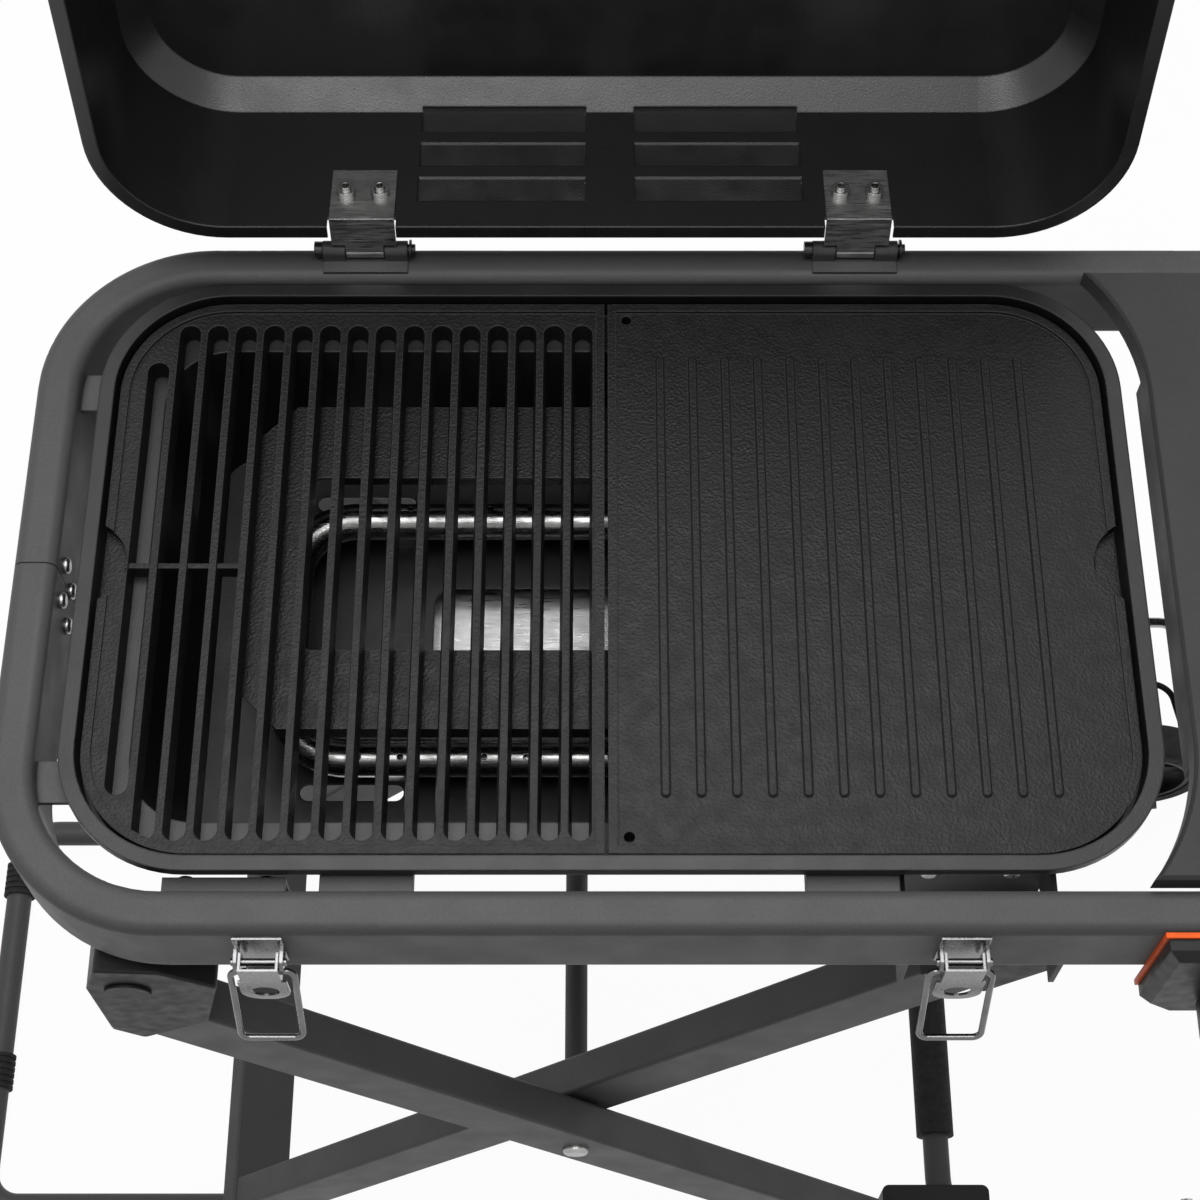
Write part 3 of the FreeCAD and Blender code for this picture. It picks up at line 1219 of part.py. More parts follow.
def valve_body():
    """The valve's body under the tube, which the pipe and the inlet screw into."""
    z = TUBE_BOTTOM - 16.0
    block = box(KNOB_X - 16, KNOB_X + 16, FRAME_FRONT + 1, FRAME_FRONT + 40, z - 14, TUBE_BOTTOM)
    seat = STEM_R + RUN_CLEAR
    block = block.cut(rod(seat, vec(KNOB_X, FRAME_FRONT, KNOB_Z), vec(KNOB_X, FRAME_FRONT + 13, KNOB_Z)))
    block = block.cut(rod(3.0, vec(KNOB_X, FRAME_FRONT + 30, z), vec(KNOB_X, FRAME_FRONT + 60, z)))
    return block.cut(rod(6.0, vec(KNOB_X + 8, FRAME_FRONT + 20, z), vec(KNOB_X + 30, FRAME_FRONT + 20, z)))


def gas_inlet():
    """A threaded inlet on the valve's right side."""
    z = TUBE_BOTTOM - 16.0
    y = FRAME_FRONT + 20.0
    x0 = KNOB_X + 8
    plug = rod(6.0, vec(x0, y, z), vec(KNOB_X + 16, y, z))
    hexagon = rod(10.0, vec(KNOB_X + 16, y, z), vec(KNOB_X + 25, y, z))
    stud = rod(INLET_R, vec(KNOB_X + 25, y, z), vec(KNOB_X + 43, y, z))
    inlet = fuse([plug, hexagon, stud])
    return inlet.cut(rod(3.5, vec(x0 - 1, y, z), vec(KNOB_X + 60, y, z)))


def gas_pipe():
    """From the valve's rear, back beside the shelf, and into the burner's inlet."""
    z = TUBE_BOTTOM - 16.0
    x_in = BURNER_W / 2 + 6.0
    start = vec(KNOB_X, FRAME_FRONT + 32, z)
    mid_z = BURNER_Z
    points = [
        start, vec(KNOB_X, -120.0, z), vec(KNOB_X, -70.0, mid_z), vec(KNOB_X, PIPE_Y, mid_z),
        vec(x_in, PIPE_Y, mid_z)]
    return round_tube(points, 16.0, 3.0, 0.8)


def electrode():
    """A ceramic rod with its spark tip beside the burner, held by a bracket on the firebox floor."""
    x1 = BURNER_W / 2 + 58
    body = rod(3.6, vec(BURNER_W / 2 + 12, WIRE_Y, WIRE_Z), vec(BURNER_W / 2 + 42, WIRE_Y, WIRE_Z))
    tip = rod(1.2, vec(BURNER_W / 2 - 4, WIRE_Y, WIRE_Z), vec(BURNER_W / 2 + 12, WIRE_Y, WIRE_Z))
    tail = rod(1.8, vec(BURNER_W / 2 + 42, WIRE_Y, WIRE_Z), vec(x1, WIRE_Y, WIRE_Z))
    return fuse([body, tip, tail])


def electrode_stand():
    """A small bracket from the firebox floor that holds the electrode."""
    x = BURNER_W / 2 + 22
    post = box(x, x + 8, WIRE_Y - 6, WIRE_Y + 6, BOWL_FLOOR, WIRE_Z + 7)
    return post.cut(rod(3.6, vec(x - 5, WIRE_Y, WIRE_Z), vec(x + 15, WIRE_Y, WIRE_Z)))


def ignition_wire():
    start = vec(BURNER_W / 2 + 58, WIRE_Y, WIRE_Z)
    z = TUBE_BOTTOM - 6.0
    points = [
        start, vec(322.0, WIRE_Y, WIRE_Z), vec(330.0, -110.0, z), vec(330.0, FRAME_FRONT + 40, z)]
    return round_bar(points, 12.0, 1.8)


def make_tray():
    """The drip tray under the firebox opening, with a pull lip at the front."""
    top = BOWL_FLOOR - SHEET - 1.0
    outer = rounded_slab(TRAY_W, TRAY_D, 16.0, top - TRAY_H, top)
    inner = rounded_slab(TRAY_W - 3, TRAY_D - 3, 14.5, top - TRAY_H + 1.5, top + 1)
    pull = box(-35, 35, -TRAY_D / 2 - 14, -TRAY_D / 2 + 1, top - 2, top)
    wings = []
    for side in (-1, 1):
        x0 = side * (TRAY_W / 2 - 1)
        x1 = side * (TRAY_W / 2 + 7)
        wings.append(box(min(x0, x1), max(x0, x1), -TRAY_D / 2 + 16, TRAY_D / 2 - 16, top - 1.6, top))
    return fuse([outer.cut(inner), pull] + wings)


def tray_rails():
    """Two Z-shaped strips welded under the firebox floor, which the tray's edges slide on."""
    parts = []
    top = BOWL_FLOOR - SHEET
    for side in (-1, 1):
        x = side * (TRAY_W / 2 + 8.0)
        wall = box(x - 1.0, x + 1.0, -TRAY_D / 2, TRAY_D / 2, top - 4.6, top)
        x0 = x - side * 5.5
        shelf = box(min(x0, x), max(x0, x), -TRAY_D / 2, TRAY_D / 2, top - 4.6, top - 2.9)
        parts.append(fuse([wall, shelf]))
    return group(parts)


def pair_x(make, x):
    return group([make(-x), make(x)])


def pair_y(shape):
    return group([shape, mirror_y(shape)])


def make_nodes():
    screws = []
    for place, way in splice_screw_places():
        screws.append(dome_screw(4.8, 3.2, place, way))
    nodes = {
        "frame_front": frame_half(True),
        "frame_rear": frame_half(False),
        "frame_splices": group([splice(True), splice(False)]),
        "splice_screws": group(screws),
        "firebox": make_firebox(),
        "firebox_brackets": group([
            bracket_front(-128.5), bracket_front(126.5), bracket_rear(-60.0), bracket_rear(60.0),
            bracket_left(-130.0), bracket_left(115.0)]),
        "flame_tamer": make_tamer(),
        "burner": make_burner(),
        "burner_supports": group([burner_supports(), electrode_stand()]),
        "electrode": electrode(),
        "ignition_wire": ignition_wire(),
        "gas_pipe": gas_pipe(),
        "valve_stem": valve_stem(),
        "valve_body": valve_body(),
        "gas_inlet": gas_inlet(),
        "shelf": make_shelf(),
        "shelf_rails": shelf_rails(),
        "control_housing": make_housing(),
        "control_trim": make_trim(),
        "hinge_frame_leaves": pair_x(frame_leaf, HINGE_X),
        "hinge_pins": group([pair_x(hinge_pin, HINGE_X), pair_x(hinge_clip, HINGE_X)]),
        "latch_bases": group([pair_x(latch_base, LATCH_X), pair_x(latch_pin, LATCH_X)]),
        "pivot_brackets": group([
            pivot_bracket(BRACKET_TOP_FRONT), mirror_y(pivot_bracket(BRACKET_TOP_REAR))]),
        "rest_brackets": pair_y(rest_bracket()),
        "bracket_screws": bracket_screws(),
        "top_bolts": pair_y(top_bolt()),
        "tray_rails": tray_rails(),
        "lid": lid_place(make_lid().cut(rivet_holes())),
        "lid_hinge_leaves": lid_place(pair_x(lid_leaf, HINGE_X)),
        "lid_rivets": lid_place(lid_rivets()),
        "lid_handle": lid_place(lid_handle()),
        "handle_posts": lid_place(handle_posts()),
        "latch_keepers": lid_place(pair_x(keeper, LATCH_X)),
        "grate": make_grate(),
        "griddle": make_griddle(),
        "drip_tray": make_tray(),
        "knob": make_knob(),
        "latch_lever_left": latch_lever(-LATCH_X),
        "latch_lever_right": latch_lever(LATCH_X),
        "latch_bail_left": latch_bail(-LATCH_X),
        "latch_bail_right": latch_bail(LATCH_X),
        "legs_outer": pair_y(leg_tube(True)),
        "leg_caps_outer": pair_y(pivot_cap()),
        "pivot_bolts": pair_y(pivot_bolt()),
        "leg_spacers": pair_y(leg_spacer()),
        "pivot_tube": pivot_tube(),
        "foot_blocks": pair_y(foot_block()),
        "wheel_yoke": make_yoke(),
        "yoke_grip": yoke_grip(),
        "axles": group([axle(True), axle(False)]),
        "legs_inner": pair_y(leg_tube(False)),
        "leg_caps_inner": pair_y(sliding_cap()),
        "foot_bar": foot_bar(),
        "bar_plugs": bar_plugs(),
        "hoop": hoop(),
        "hoop_rings": hoop_rings(),
        "wheel_tyre_front": wheel_tyre(True),
        "wheel_hub_front": wheel_hub(True),
        "wheel_tyre_rear": wheel_tyre(False),
        "wheel_hub_rear": wheel_hub(False),
    }
    return nodes


def main():
    os.makedirs("parts", exist_ok=True)
    for name, shape in make_nodes().items():
        shape.translate(vec(-ORIGIN_X, -ORIGIN_Y, 0))
        shape.exportStep("parts/" + name + ".step")


main()
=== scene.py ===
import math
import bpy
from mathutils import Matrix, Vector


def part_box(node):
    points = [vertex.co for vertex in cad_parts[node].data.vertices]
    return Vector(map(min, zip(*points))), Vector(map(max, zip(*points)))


bl_info = {
    "name": "Gas grill on a folding stand",
    "version": (1, 0, 0),
    "blender": (4, 5, 0),
    "location": "3D View > Sidebar > Grill",
    "description": "Finishes of a gas grill, on a pale studio floor",
    "category": "Object",
}

import bpy
from bpy.props import FloatProperty, FloatVectorProperty, PointerProperty
from mathutils import Vector

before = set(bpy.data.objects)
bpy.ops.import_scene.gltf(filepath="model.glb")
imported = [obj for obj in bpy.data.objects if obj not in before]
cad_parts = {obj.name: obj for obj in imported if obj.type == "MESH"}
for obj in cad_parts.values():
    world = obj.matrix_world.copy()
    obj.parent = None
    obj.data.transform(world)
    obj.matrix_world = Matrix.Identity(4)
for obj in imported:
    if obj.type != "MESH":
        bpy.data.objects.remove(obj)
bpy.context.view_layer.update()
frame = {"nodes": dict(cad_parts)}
RIM_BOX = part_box("firebox")
RIM_MIDDLE = [(low + high) / 2 for low, high in zip(*RIM_BOX)]

# Camera: metres from the middle of the firebox rim and above the floor, and its sensor in millimetres
CAMERA_LEFT = 0.006
CAMERA_FRONT = 0.597
CAMERA_HEIGHT = 1.985
SENSOR_WIDTH = 36.0

# Lamps: places and sizes in metres, all turned to one point of the grill
LAMP_AIM = (0.0, 0.0, 0.85)
KEY_PLACE = (-0.2, -0.1, 3.4)
KEY_SIZE = (2.2, 2.2)
BACK_PLACE = (0.0, 1.2, 3.0)
BACK_SIZE = (2.2, 1.2)
SIDE_PLACE = (2.6, 0.3, 1.6)
SIDE_SIZE = (0.8, 2.0)
AMBIENT = 0.1

# Floor: its width in metres, and how much of what the camera sees of it is plain white
FLOOR_SIZE = 14.0
FLOOR_WHITE = 0.96
FLOOR_ROUGHNESS = 0.9

# Rays that the rounded edges of a finish take
EDGE_SAMPLES = 4


# Node helpers for the materials

def begin_finish(name, roughness, metallic=0.0, specular=0.5):
    """A new material with one shader, and the object's own coordinates for its patterns."""
    material = bpy.data.materials.new(name)
    material.use_nodes = True
    tree = material.node_tree
    shader = tree.nodes["Principled BSDF"]
    shader.inputs["Roughness"].default_value = roughness
    shader.inputs["Metallic"].default_value = metallic
    shader.inputs["Specular IOR Level"].default_value = specular
    place = tree.nodes.new("ShaderNodeTexCoord")
    return material, tree, shader, place.outputs["Object"]


def noise(tree, place, size, detail, drawn=1.0):
    """A noise whose features are about size metres across; a small drawn makes them long in X."""
    mapping = tree.nodes.new("ShaderNodeMapping")
    mapping.inputs["Scale"].default_value = (drawn, 1.0, 1.0)
    tree.links.new(place, mapping.inputs["Vector"])
    pattern = tree.nodes.new("ShaderNodeTexNoise")
    pattern.inputs["Scale"].default_value = 1.0 / size
    pattern.inputs["Detail"].default_value = detail
    tree.links.new(mapping.outputs["Vector"], pattern.inputs["Vector"])
    return pattern.outputs["Fac"]


def pebbles(tree, place, size):
    """Rounded cells about size metres across, for cast surfaces."""
    cells = tree.nodes.new("ShaderNodeTexVoronoi")
    cells.feature = "SMOOTH_F1"
    cells.inputs["Scale"].default_value = 1.0 / size
    cells.inputs["Smoothness"].default_value = 0.6
    tree.links.new(place, cells.inputs["Vector"])
    return cells.outputs["Distance"]


def remap(tree, value, low, high, start=0.3, end=0.7):
    """Spreads a pattern's middle range over low to high."""
    node = tree.nodes.new("ShaderNodeMapRange")
    node.inputs["From Min"].default_value = start
    node.inputs["From Max"].default_value = end
    node.inputs["To Min"].default_value = low
    node.inputs["To Max"].default_value = high
    tree.links.new(value, node.inputs["Value"])
    return node.outputs["Result"]


def tone(tree, shader, pattern, colour, spread):
    """Lets a pattern vary the colour by a share of itself, darker and lighter."""
    mix = tree.nodes.new("ShaderNodeMix")
    mix.data_type = "RGBA"
    dark = [c * (1.0 - spread) for c in colour] + [1.0]
    light = [min(1.0, c * (1.0 + spread)) for c in colour] + [1.0]
    mix.inputs["A"].default_value = dark
    mix.inputs["B"].default_value = light
    tree.links.new(remap(tree, pattern, 0.0, 1.0), mix.inputs["Factor"])
    tree.links.new(mix.outputs["Result"], shader.inputs["Base Color"])
    return mix


def gloss(tree, shader, pattern, low, high):
    """Lets a pattern vary the roughness."""
    tree.links.new(remap(tree, pattern, low, high), shader.inputs["Roughness"])


def relief(tree, shader, pattern, depth, edge):
    """Raises the pattern by depth metres, over edges that are rounded by edge metres."""
    bump = tree.nodes.new("ShaderNodeBump")
    bump.inputs["Distance"].default_value = depth
    bump.inputs["Strength"].default_value = 1.0
    tree.links.new(pattern, bump.inputs["Height"])
    soft = tree.nodes.new("ShaderNodeBevel")
    soft.samples = EDGE_SAMPLES
    soft.inputs["Radius"].default_value = edge
    tree.links.new(soft.outputs["Normal"], bump.inputs["Normal"])
    tree.links.new(bump.outputs["Normal"], shader.inputs["Normal"])


def painted_edge_highlight(tree, shader, mix, colour, edge, strength):
    """Lightens the colour along sharp edges: a painted highlight where the rims catch the light."""
    soft = tree.nodes.new("ShaderNodeBevel")
    soft.samples = EDGE_SAMPLES
    soft.inputs["Radius"].default_value = edge
    surface = tree.nodes.new("ShaderNodeNewGeometry")
    facing = tree.nodes.new("ShaderNodeVectorMath")
    facing.operation = "DOT_PRODUCT"
    tree.links.new(soft.outputs["Normal"], facing.inputs[0])
    tree.links.new(surface.outputs["True Normal"], facing.inputs[1])
    # Painted highlight: the edge colour is mixed in along the edges.
    lit_edge = tree.nodes.new("ShaderNodeMix")
    lit_edge.data_type = "RGBA"
    lit_edge.inputs["B"].default_value = [*colour, 1.0]
    share = remap(tree, facing.outputs["Value"], low=strength, high=0.0, start=0.8, end=0.98)
    tree.links.new(share, lit_edge.inputs["Factor"])
    tree.links.new(mix.outputs["Result"], lit_edge.inputs["A"])
    tree.links.new(lit_edge.outputs["Result"], shader.inputs["Base Color"])


# Finishes

def powder_coat(name, colour):
    """Dry grey coating with a fine grain and softly rounded edges."""
    material, tree, shader, place = begin_finish(name, roughness=0.5, specular=0.2)
    tone(tree, shader, noise(tree, place, size=0.0012, detail=2.0), colour, spread=0.10)
    gloss(tree, shader, noise(tree, place, size=0.03, detail=3.0), low=0.44, high=0.56)
    relief(tree, shader, noise(tree, place, size=0.0007, detail=2.0), depth=0.00006, edge=0.0012)
    return material


def satin_enamel(name, colour, specular=0.5, roughness=0.36):
    """Black enamel on pressed sheet, with orange peel and a low sparkle."""
    material, tree, shader, place = begin_finish(name, roughness, specular=specular)
    tone(tree, shader, noise(tree, place, size=0.0009, detail=2.0), colour, spread=0.35)
    sheen = noise(tree, place, size=0.02, detail=3.0)
    gloss(tree, shader, sheen, low=roughness - 0.03, high=roughness + 0.06)
    relief(tree, shader, noise(tree, place, size=0.0011, detail=2.0), depth=0.00009, edge=0.0015)
    return material


def cast_coat(name, colour, edge_highlight_colour):
    """Matte coated casting: pebbled skin, with a painted highlight along its edges."""
    material, tree, shader, place = begin_finish(name, roughness=0.45, specular=0.17)
    mix = tone(tree, shader, noise(tree, place, size=0.0016, detail=3.0), colour, spread=0.30)
    # Painted highlight: a paler colour along every edge.
    painted_edge_highlight(tree, shader, mix, edge_highlight_colour, edge=0.0012, strength=0.5)
    gloss(tree, shader, noise(tree, place, size=0.01, detail=3.0), low=0.36, high=0.5)
    relief(tree, shader, pebbles(tree, place, size=0.0016), depth=0.00022, edge=0.0012)
    return material


def bright_steel(name, colour, roughness, drawn=1.0):
    """Bare metal with fine marks, which a small drawn makes long in X."""
    material, tree, shader, place = begin_finish(name, roughness, metallic=1.0)
    streak = noise(tree, place, size=0.0009, detail=4.0, drawn=drawn)
    tone(tree, shader, noise(tree, place, size=0.012, detail=3.0), colour, spread=0.12)
    gloss(tree, shader, streak, low=roughness * 0.6, high=roughness * 1.5)
    relief(tree, shader, streak, depth=0.00003, edge=0.0006)
    return material


def moulded_plastic(name, colour, roughness):
    """Moulded plastic with a spark-eroded grain and rounded edges."""
    material, tree, shader, place = begin_finish(name, roughness, specular=0.2)
    tone(tree, shader, noise(tree, place, size=0.004, detail=2.0), colour, spread=0.12)
    sheen = noise(tree, place, size=0.008, detail=2.0)
    gloss(tree, shader, sheen, low=roughness * 0.85, high=roughness * 1.15)
    relief(tree, shader, noise(tree, place, size=0.0006, detail=2.0), depth=0.00004, edge=0.0012)
    return material


def rubber_skin(name, colour):
    """Dull rubber with a faint bloom."""
    material, tree, shader, place = begin_finish(name, roughness=0.75, specular=0.2)
    tone(tree, shader, noise(tree, place, size=0.01, detail=4.0), colour, spread=0.3)
    gloss(tree, shader, noise(tree, place, size=0.004, detail=3.0), low=0.66, high=0.84)
    relief(tree, shader, noise(tree, place, size=0.0009, detail=3.0), depth=0.00008, edge=0.001)
    return material


# Settings

def coat_colour(name, description, default):
    return FloatVectorProperty(
        name=name, description=description, subtype="COLOR", size=3, min=0.0, max=1.0, default=default)


def lamp_power(name, description, default):
    return FloatProperty(
        name=name, description=description, subtype="POWER", unit="POWER", min=0.0, default=default)


class GrillColours(bpy.types.PropertyGroup):
    """The colours that a user would change."""
    frame: coat_colour("Frame", "Powder coat of the frame and the legs", (0.062, 0.062, 0.063))
    shelf: coat_colour("Shelf", "Coating of the side shelf", (0.03, 0.03, 0.03))
    enamel: coat_colour("Enamel", "Lid and firebox", (0.006, 0.006, 0.006))
    plate: coat_colour("Plates", "Grate and griddle", (0.007, 0.007, 0.007))
    tamer: coat_colour("Flame tamer", "Plate over the burner", (0.009, 0.009, 0.009))
    steel: coat_colour("Steel", "Burner, hinge leaves and other bare steel", (0.36, 0.36, 0.355))
    # The plating colour is kept dark as a painted reflection of dark surroundings, darker than bright
    # plating.
    plating: coat_colour("Plating", "Draw latches", (0.15, 0.15, 0.153))
    plastic: coat_colour("Plastic", "Control housing, knob and caps", (0.009, 0.009, 0.0093))
    trim: coat_colour("Trim", "Strip between the control housing and the tube", (0.76, 0.1, 0.008))
    brass: coat_colour("Brass", "Gas valve and inlet", (0.68, 0.46, 0.17))
    aluminium: coat_colour("Aluminium", "Drip tray", (0.5, 0.5, 0.505))
    rubber: coat_colour("Rubber", "Tyres, foot rings and the sleeve", (0.016, 0.016, 0.016))
    floor: coat_colour("Floor", "Studio floor", (0.86, 0.86, 0.86))


class GrillStage(bpy.types.PropertyGroup):
    """The camera and the power of the lamps."""
    camera_place: FloatVectorProperty(
        name="Camera", description="Where the camera stands",
        subtype="TRANSLATION", unit="LENGTH", size=3,
        default=(RIM_MIDDLE[0] - CAMERA_LEFT, RIM_MIDDLE[1] - CAMERA_FRONT, CAMERA_HEIGHT))
    camera_tilt: FloatProperty(
        name="Tilt", description="Camera's turn up from straight down",
        subtype="ANGLE", unit="ROTATION", default=math.radians(27.0))
    lens: FloatProperty(
        name="Lens", description="Focal length on a sensor 36 mm wide, in millimetres",
        min=10.0, max=200.0, default=68.4)
    key_power: lamp_power("Key", "Power of the soft box over the grill", 74.0)
    back_power: lamp_power("Back", "Power of the soft box above and behind the lid", 20.0)
    side_power: lamp_power("Sides", "Power of each strip at the sides", 5.0)


# Pieces

def dress(names, material):
    """Gives pieces of the frame their finish."""
    for name in names:
        piece = frame["nodes"][name]
        piece.data.materials.clear()
        piece.data.materials.append(material)


class GRILL_OT_frame(bpy.types.Operator):
    """Coats the tube frame, the brackets and the hinge leaves on the tube."""
    bl_idname = "grill.frame"
    bl_label = "Frame"

    def execute(self, context):
        colours = context.scene.grill_colours
        coat = powder_coat("frame_powder_coat", colours.frame)
        dress(("frame_front", "frame_rear", "firebox_brackets", "shelf_rails", "hinge_frame_leaves",
               "pivot_brackets", "rest_brackets"), coat)
        screws = bright_steel("screw_zinc", colours.steel, 0.3)
        dress(("splice_screws", "bracket_screws", "frame_splices", "tray_rails"), screws)
        dress(("hinge_pins",), satin_enamel("hinge_black", colours.enamel))
        return {"FINISHED"}


class GRILL_OT_firebox(bpy.types.Operator):
    """Enamels the firebox and finishes the burner set and the drip tray."""
    bl_idname = "grill.firebox"
    bl_label = "Firebox and burner"

    def execute(self, context):
        colours = context.scene.grill_colours
        dress(("firebox",), satin_enamel("firebox_enamel", colours.enamel, specular=0.3))
        # The last colour is a painted highlight along the edges of the tamer.
        dress(("flame_tamer",), cast_coat("tamer_coat", colours.tamer, (0.2, 0.2, 0.2)))
        dress(("burner", "gas_pipe"), bright_steel("burner_steel", colours.steel, 0.22, drawn=0.1))
        dress(("burner_supports", "electrode"), bright_steel("support_steel", colours.steel, 0.35))
        dress(("ignition_wire",), moulded_plastic("wire_jacket", colours.plastic, 0.5))
        dress(("drip_tray",), bright_steel("tray_aluminium", colours.aluminium, 0.4, drawn=0.08))
        return {"FINISHED"}


class GRILL_OT_plates(bpy.types.Operator):
    """Coats the slotted grate and the ribbed griddle."""
    bl_idname = "grill.plates"
    bl_label = "Cooking plates"

    def execute(self, context):
        colours = context.scene.grill_colours
        # The last colour is a painted highlight along the edges of the plates.
        dress(("grate", "griddle"), cast_coat("plate_coat", colours.plate, (0.1, 0.1, 0.1)))
        return {"FINISHED"}


class GRILL_OT_lid(bpy.types.Operator):
    """Enamels the lid and finishes its hinge leaves, rivets, handle and keepers."""
    bl_idname = "grill.lid"
    bl_label = "Lid"

    def execute(self, context):
        colours = context.scene.grill_colours
        dress(("lid",), satin_enamel("lid_enamel", colours.enamel, specular=0.6, roughness=0.3))
        dress(("lid_hinge_leaves",), bright_steel("leaf_steel", colours.steel, 0.34, drawn=0.06))
        dress(("lid_rivets", "latch_keepers"), bright_steel("rivet_steel", colours.steel, 0.25))
        dress(("lid_handle",), bright_steel("handle_steel", colours.steel, 0.28, drawn=0.05))
        dress(("handle_posts",), moulded_plastic("post_plastic", colours.plastic, 0.45))
        return {"FINISHED"}


class GRILL_OT_latches(bpy.types.Operator):
    """Plates the two draw latches."""
    bl_idname = "grill.latches"
    bl_label = "Latches"

    def execute(self, context):
        colours = context.scene.grill_colours
        # The plating colour holds a painted dark reflection.
        plated = bright_steel("latch_plating", colours.plating, 0.2)
        sides = ("left", "right")
        dress(("latch_bases",), plated)
        dress(["latch_lever_" + side for side in sides], plated)
        dress(["latch_bail_" + side for side in sides], plated)
        return {"FINISHED"}


class GRILL_OT_shelf(bpy.types.Operator):
    """Coats the side shelf and finishes the control housing, the knob and the valve."""
    bl_idname = "grill.shelf"
    bl_label = "Shelf and controls"

    def execute(self, context):
        colours = context.scene.grill_colours
        dress(("shelf",), powder_coat("shelf_powder_coat", colours.shelf))
        dress(("control_housing", "knob"), moulded_plastic("control_plastic", colours.plastic, 0.42))
        dress(("control_trim",), moulded_plastic("trim_plastic", colours.trim, 0.4))
        dress(("valve_stem", "valve_body", "gas_inlet"), bright_steel("valve_brass", colours.brass, 0.3))
        return {"FINISHED"}


class GRILL_OT_stand(bpy.types.Operator):
    """Coats the scissor legs and finishes the caps, bolts, feet and the sleeve."""
    bl_idname = "grill.stand"
    bl_label = "Stand"

    def execute(self, context):
        colours = context.scene.grill_colours
        coat = powder_coat("leg_powder_coat", colours.frame)
        dress(("legs_outer", "legs_inner", "pivot_tube", "wheel_yoke", "foot_bar", "hoop"), coat)
        caps = moulded_plastic("cap_plastic", colours.plastic, 0.5)
        dress(("leg_caps_outer", "leg_caps_inner", "leg_spacers", "foot_blocks", "bar_plugs",
               "top_bolts"), caps)
        dress(("pivot_bolts", "axles"), bright_steel("bolt_zinc", colours.steel, 0.3))
        dress(("yoke_grip", "hoop_rings"), rubber_skin("sleeve_rubber", colours.rubber))
        return {"FINISHED"}


class GRILL_OT_wheels(bpy.types.Operator):
    """Finishes the tyres and the wheel hubs."""
    bl_idname = "grill.wheels"
    bl_label = "Wheels"

    def execute(self, context):
        colours = context.scene.grill_colours
        ends = ("front", "rear")
        dress(["wheel_tyre_" + end for end in ends], rubber_skin("tyre_rubber", colours.rubber))
        dress(["wheel_hub_" + end for end in ends], moulded_plastic("hub_plastic", colours.plastic, 0.45))
        return {"FINISHED"}


# Stage

def background_factor(tree):
    """1 for rays that see the background straight, in a reflection or through glass."""
    path = tree.nodes.new("ShaderNodeLightPath")
    total = path.outputs["Is Camera Ray"]
    for name in ("Is Glossy Ray", "Is Transmission Ray"):
        add = tree.nodes.new("ShaderNodeMath")
        add.operation = "MAXIMUM"
        tree.links.new(total, add.inputs[0])
        tree.links.new(path.outputs[name], add.inputs[1])
        total = add.outputs["Value"]
    return total


def floor_finish(colour):
    """A pale floor that shows nearly white and keeps a faint shadow."""
    material = bpy.data.materials.new("studio_floor")
    material.use_nodes = True
    tree = material.node_tree
    shader = tree.nodes["Principled BSDF"]
    shader.inputs["Base Color"].default_value = [*colour, 1.0]
    shader.inputs["Roughness"].default_value = FLOOR_ROUGHNESS
    white = tree.nodes.new("ShaderNodeEmission")
    share = tree.nodes.new("ShaderNodeMath")
    share.operation = "MULTIPLY"
    share.inputs[1].default_value = FLOOR_WHITE
    tree.links.new(background_factor(tree), share.inputs[0])
    mix = tree.nodes.new("ShaderNodeMixShader")
    tree.links.new(share.outputs["Value"], mix.inputs["Fac"])
    tree.links.new(shader.outputs["BSDF"], mix.inputs[1])
    tree.links.new(white.outputs["Emission"], mix.inputs[2])
    tree.links.new(mix.outputs["Shader"], tree.nodes["Material Output"].inputs["Surface"])
    return material


def soft_box(name, place, size, power):
    """A lamp with a flat rectangular face, turned to the grill."""
    lamp = bpy.data.lights.new(name, "AREA")
    lamp.shape = "RECTANGLE"
    lamp.size, lamp.size_y = size
    lamp.energy = power
    holder = bpy.data.objects.new(name, lamp)
    holder.location = place
    holder.rotation_euler = (Vector(LAMP_AIM) - Vector(place)).to_track_quat("-Z", "Y").to_euler()
    bpy.context.scene.collection.objects.link(holder)


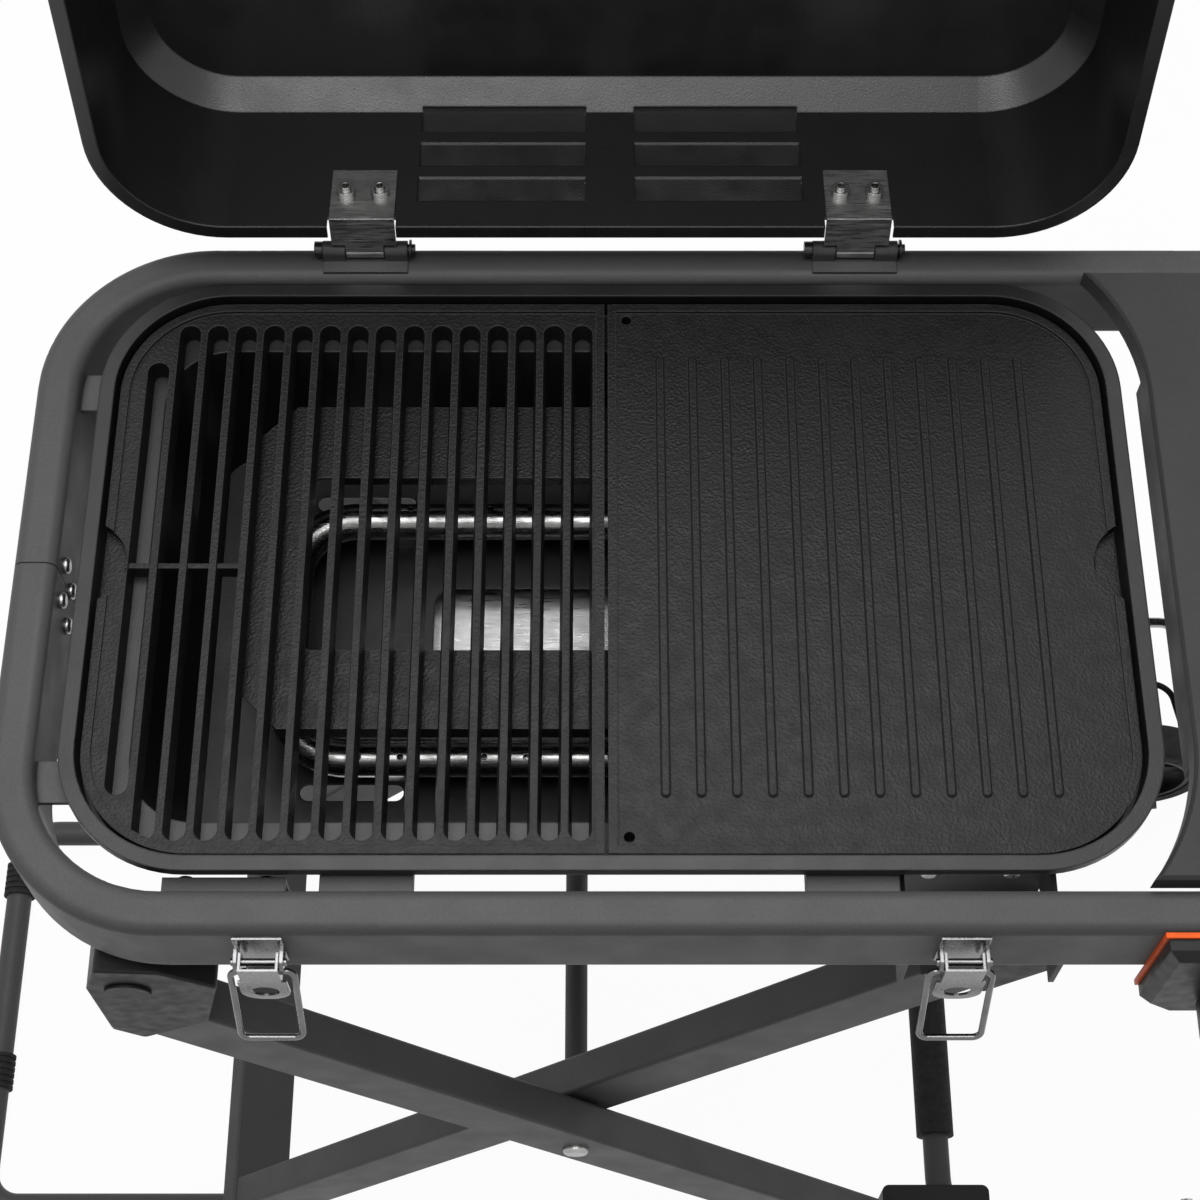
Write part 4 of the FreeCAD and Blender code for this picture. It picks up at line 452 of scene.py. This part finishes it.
class GRILL_OT_stage(bpy.types.Operator):
    """Sets the floor, the lamps, the world and the camera."""
    bl_idname = "grill.stage"
    bl_label = "Stage"

    def execute(self, context):
        scene = context.scene
        stage = scene.grill_stage
        mesh = bpy.data.meshes.new("studio_floor")
        half = FLOOR_SIZE / 2
        corners = [(-half, -half, 0.0), (half, -half, 0.0), (half, half, 0.0), (-half, half, 0.0)]
        mesh.from_pydata(corners, [], [(0, 1, 2, 3)])
        mesh.materials.append(floor_finish(scene.grill_colours.floor))
        floor = bpy.data.objects.new("studio_floor", mesh)
        scene.collection.objects.link(floor)

        soft_box("key", KEY_PLACE, KEY_SIZE, stage.key_power)
        soft_box("back", BACK_PLACE, BACK_SIZE, stage.back_power)
        x, y, z = SIDE_PLACE
        for side in (-1, 1):
            soft_box("side", (side * x, y, z), SIDE_SIZE, stage.side_power)

        world = bpy.data.worlds.new("studio")
        world.use_nodes = True
        tree = world.node_tree
        sky = tree.nodes["Background"]
        sky.inputs["Color"].default_value = (1.0, 1.0, 1.0, 1.0)
        strength = tree.nodes.new("ShaderNodeMapRange")
        strength.inputs["To Min"].default_value = AMBIENT
        strength.inputs["To Max"].default_value = 1.0
        tree.links.new(background_factor(tree), strength.inputs["Value"])
        tree.links.new(strength.outputs["Result"], sky.inputs["Strength"])
        scene.world = world

        camera = bpy.data.cameras.new("camera")
        camera.sensor_width = SENSOR_WIDTH
        camera.lens = stage.lens
        holder = bpy.data.objects.new("camera", camera)
        holder.location = stage.camera_place
        holder.rotation_euler = (stage.camera_tilt, 0.0, 0.0)
        scene.collection.objects.link(holder)
        scene.camera = holder
        scene.view_settings.view_transform = "Standard"
        return {"FINISHED"}


PIECES = (
    GRILL_OT_frame, GRILL_OT_firebox, GRILL_OT_plates, GRILL_OT_lid, GRILL_OT_latches,
    GRILL_OT_shelf, GRILL_OT_stand, GRILL_OT_wheels, GRILL_OT_stage)


class GRILL_PT_panel(bpy.types.Panel):
    """Lists the pieces and the colours."""
    bl_idname = "GRILL_PT_panel"
    bl_label = "Gas grill"
    bl_space_type = "VIEW_3D"
    bl_region_type = "UI"
    bl_category = "Grill"

    def draw(self, context):
        layout = self.layout
        for piece in PIECES:
            layout.operator(piece.bl_idname)
        for group in (context.scene.grill_colours, context.scene.grill_stage):
            for name in group.__annotations__:
                layout.prop(group, name)


CLASSES = (GrillColours, GrillStage, *PIECES, GRILL_PT_panel)


def register():
    for item in CLASSES:
        bpy.utils.register_class(item)
    bpy.types.Scene.grill_colours = PointerProperty(type=GrillColours)
    bpy.types.Scene.grill_stage = PointerProperty(type=GrillStage)


def unregister():
    del bpy.types.Scene.grill_stage
    del bpy.types.Scene.grill_colours
    for item in reversed(CLASSES):
        bpy.utils.unregister_class(item)


def main():
    register()
    bpy.ops.grill.frame()
    bpy.ops.grill.firebox()
    bpy.ops.grill.plates()
    bpy.ops.grill.lid()
    bpy.ops.grill.latches()
    bpy.ops.grill.shelf()
    bpy.ops.grill.stand()
    bpy.ops.grill.wheels()
    bpy.ops.grill.stage()


if __name__ == "__main__":
    main()
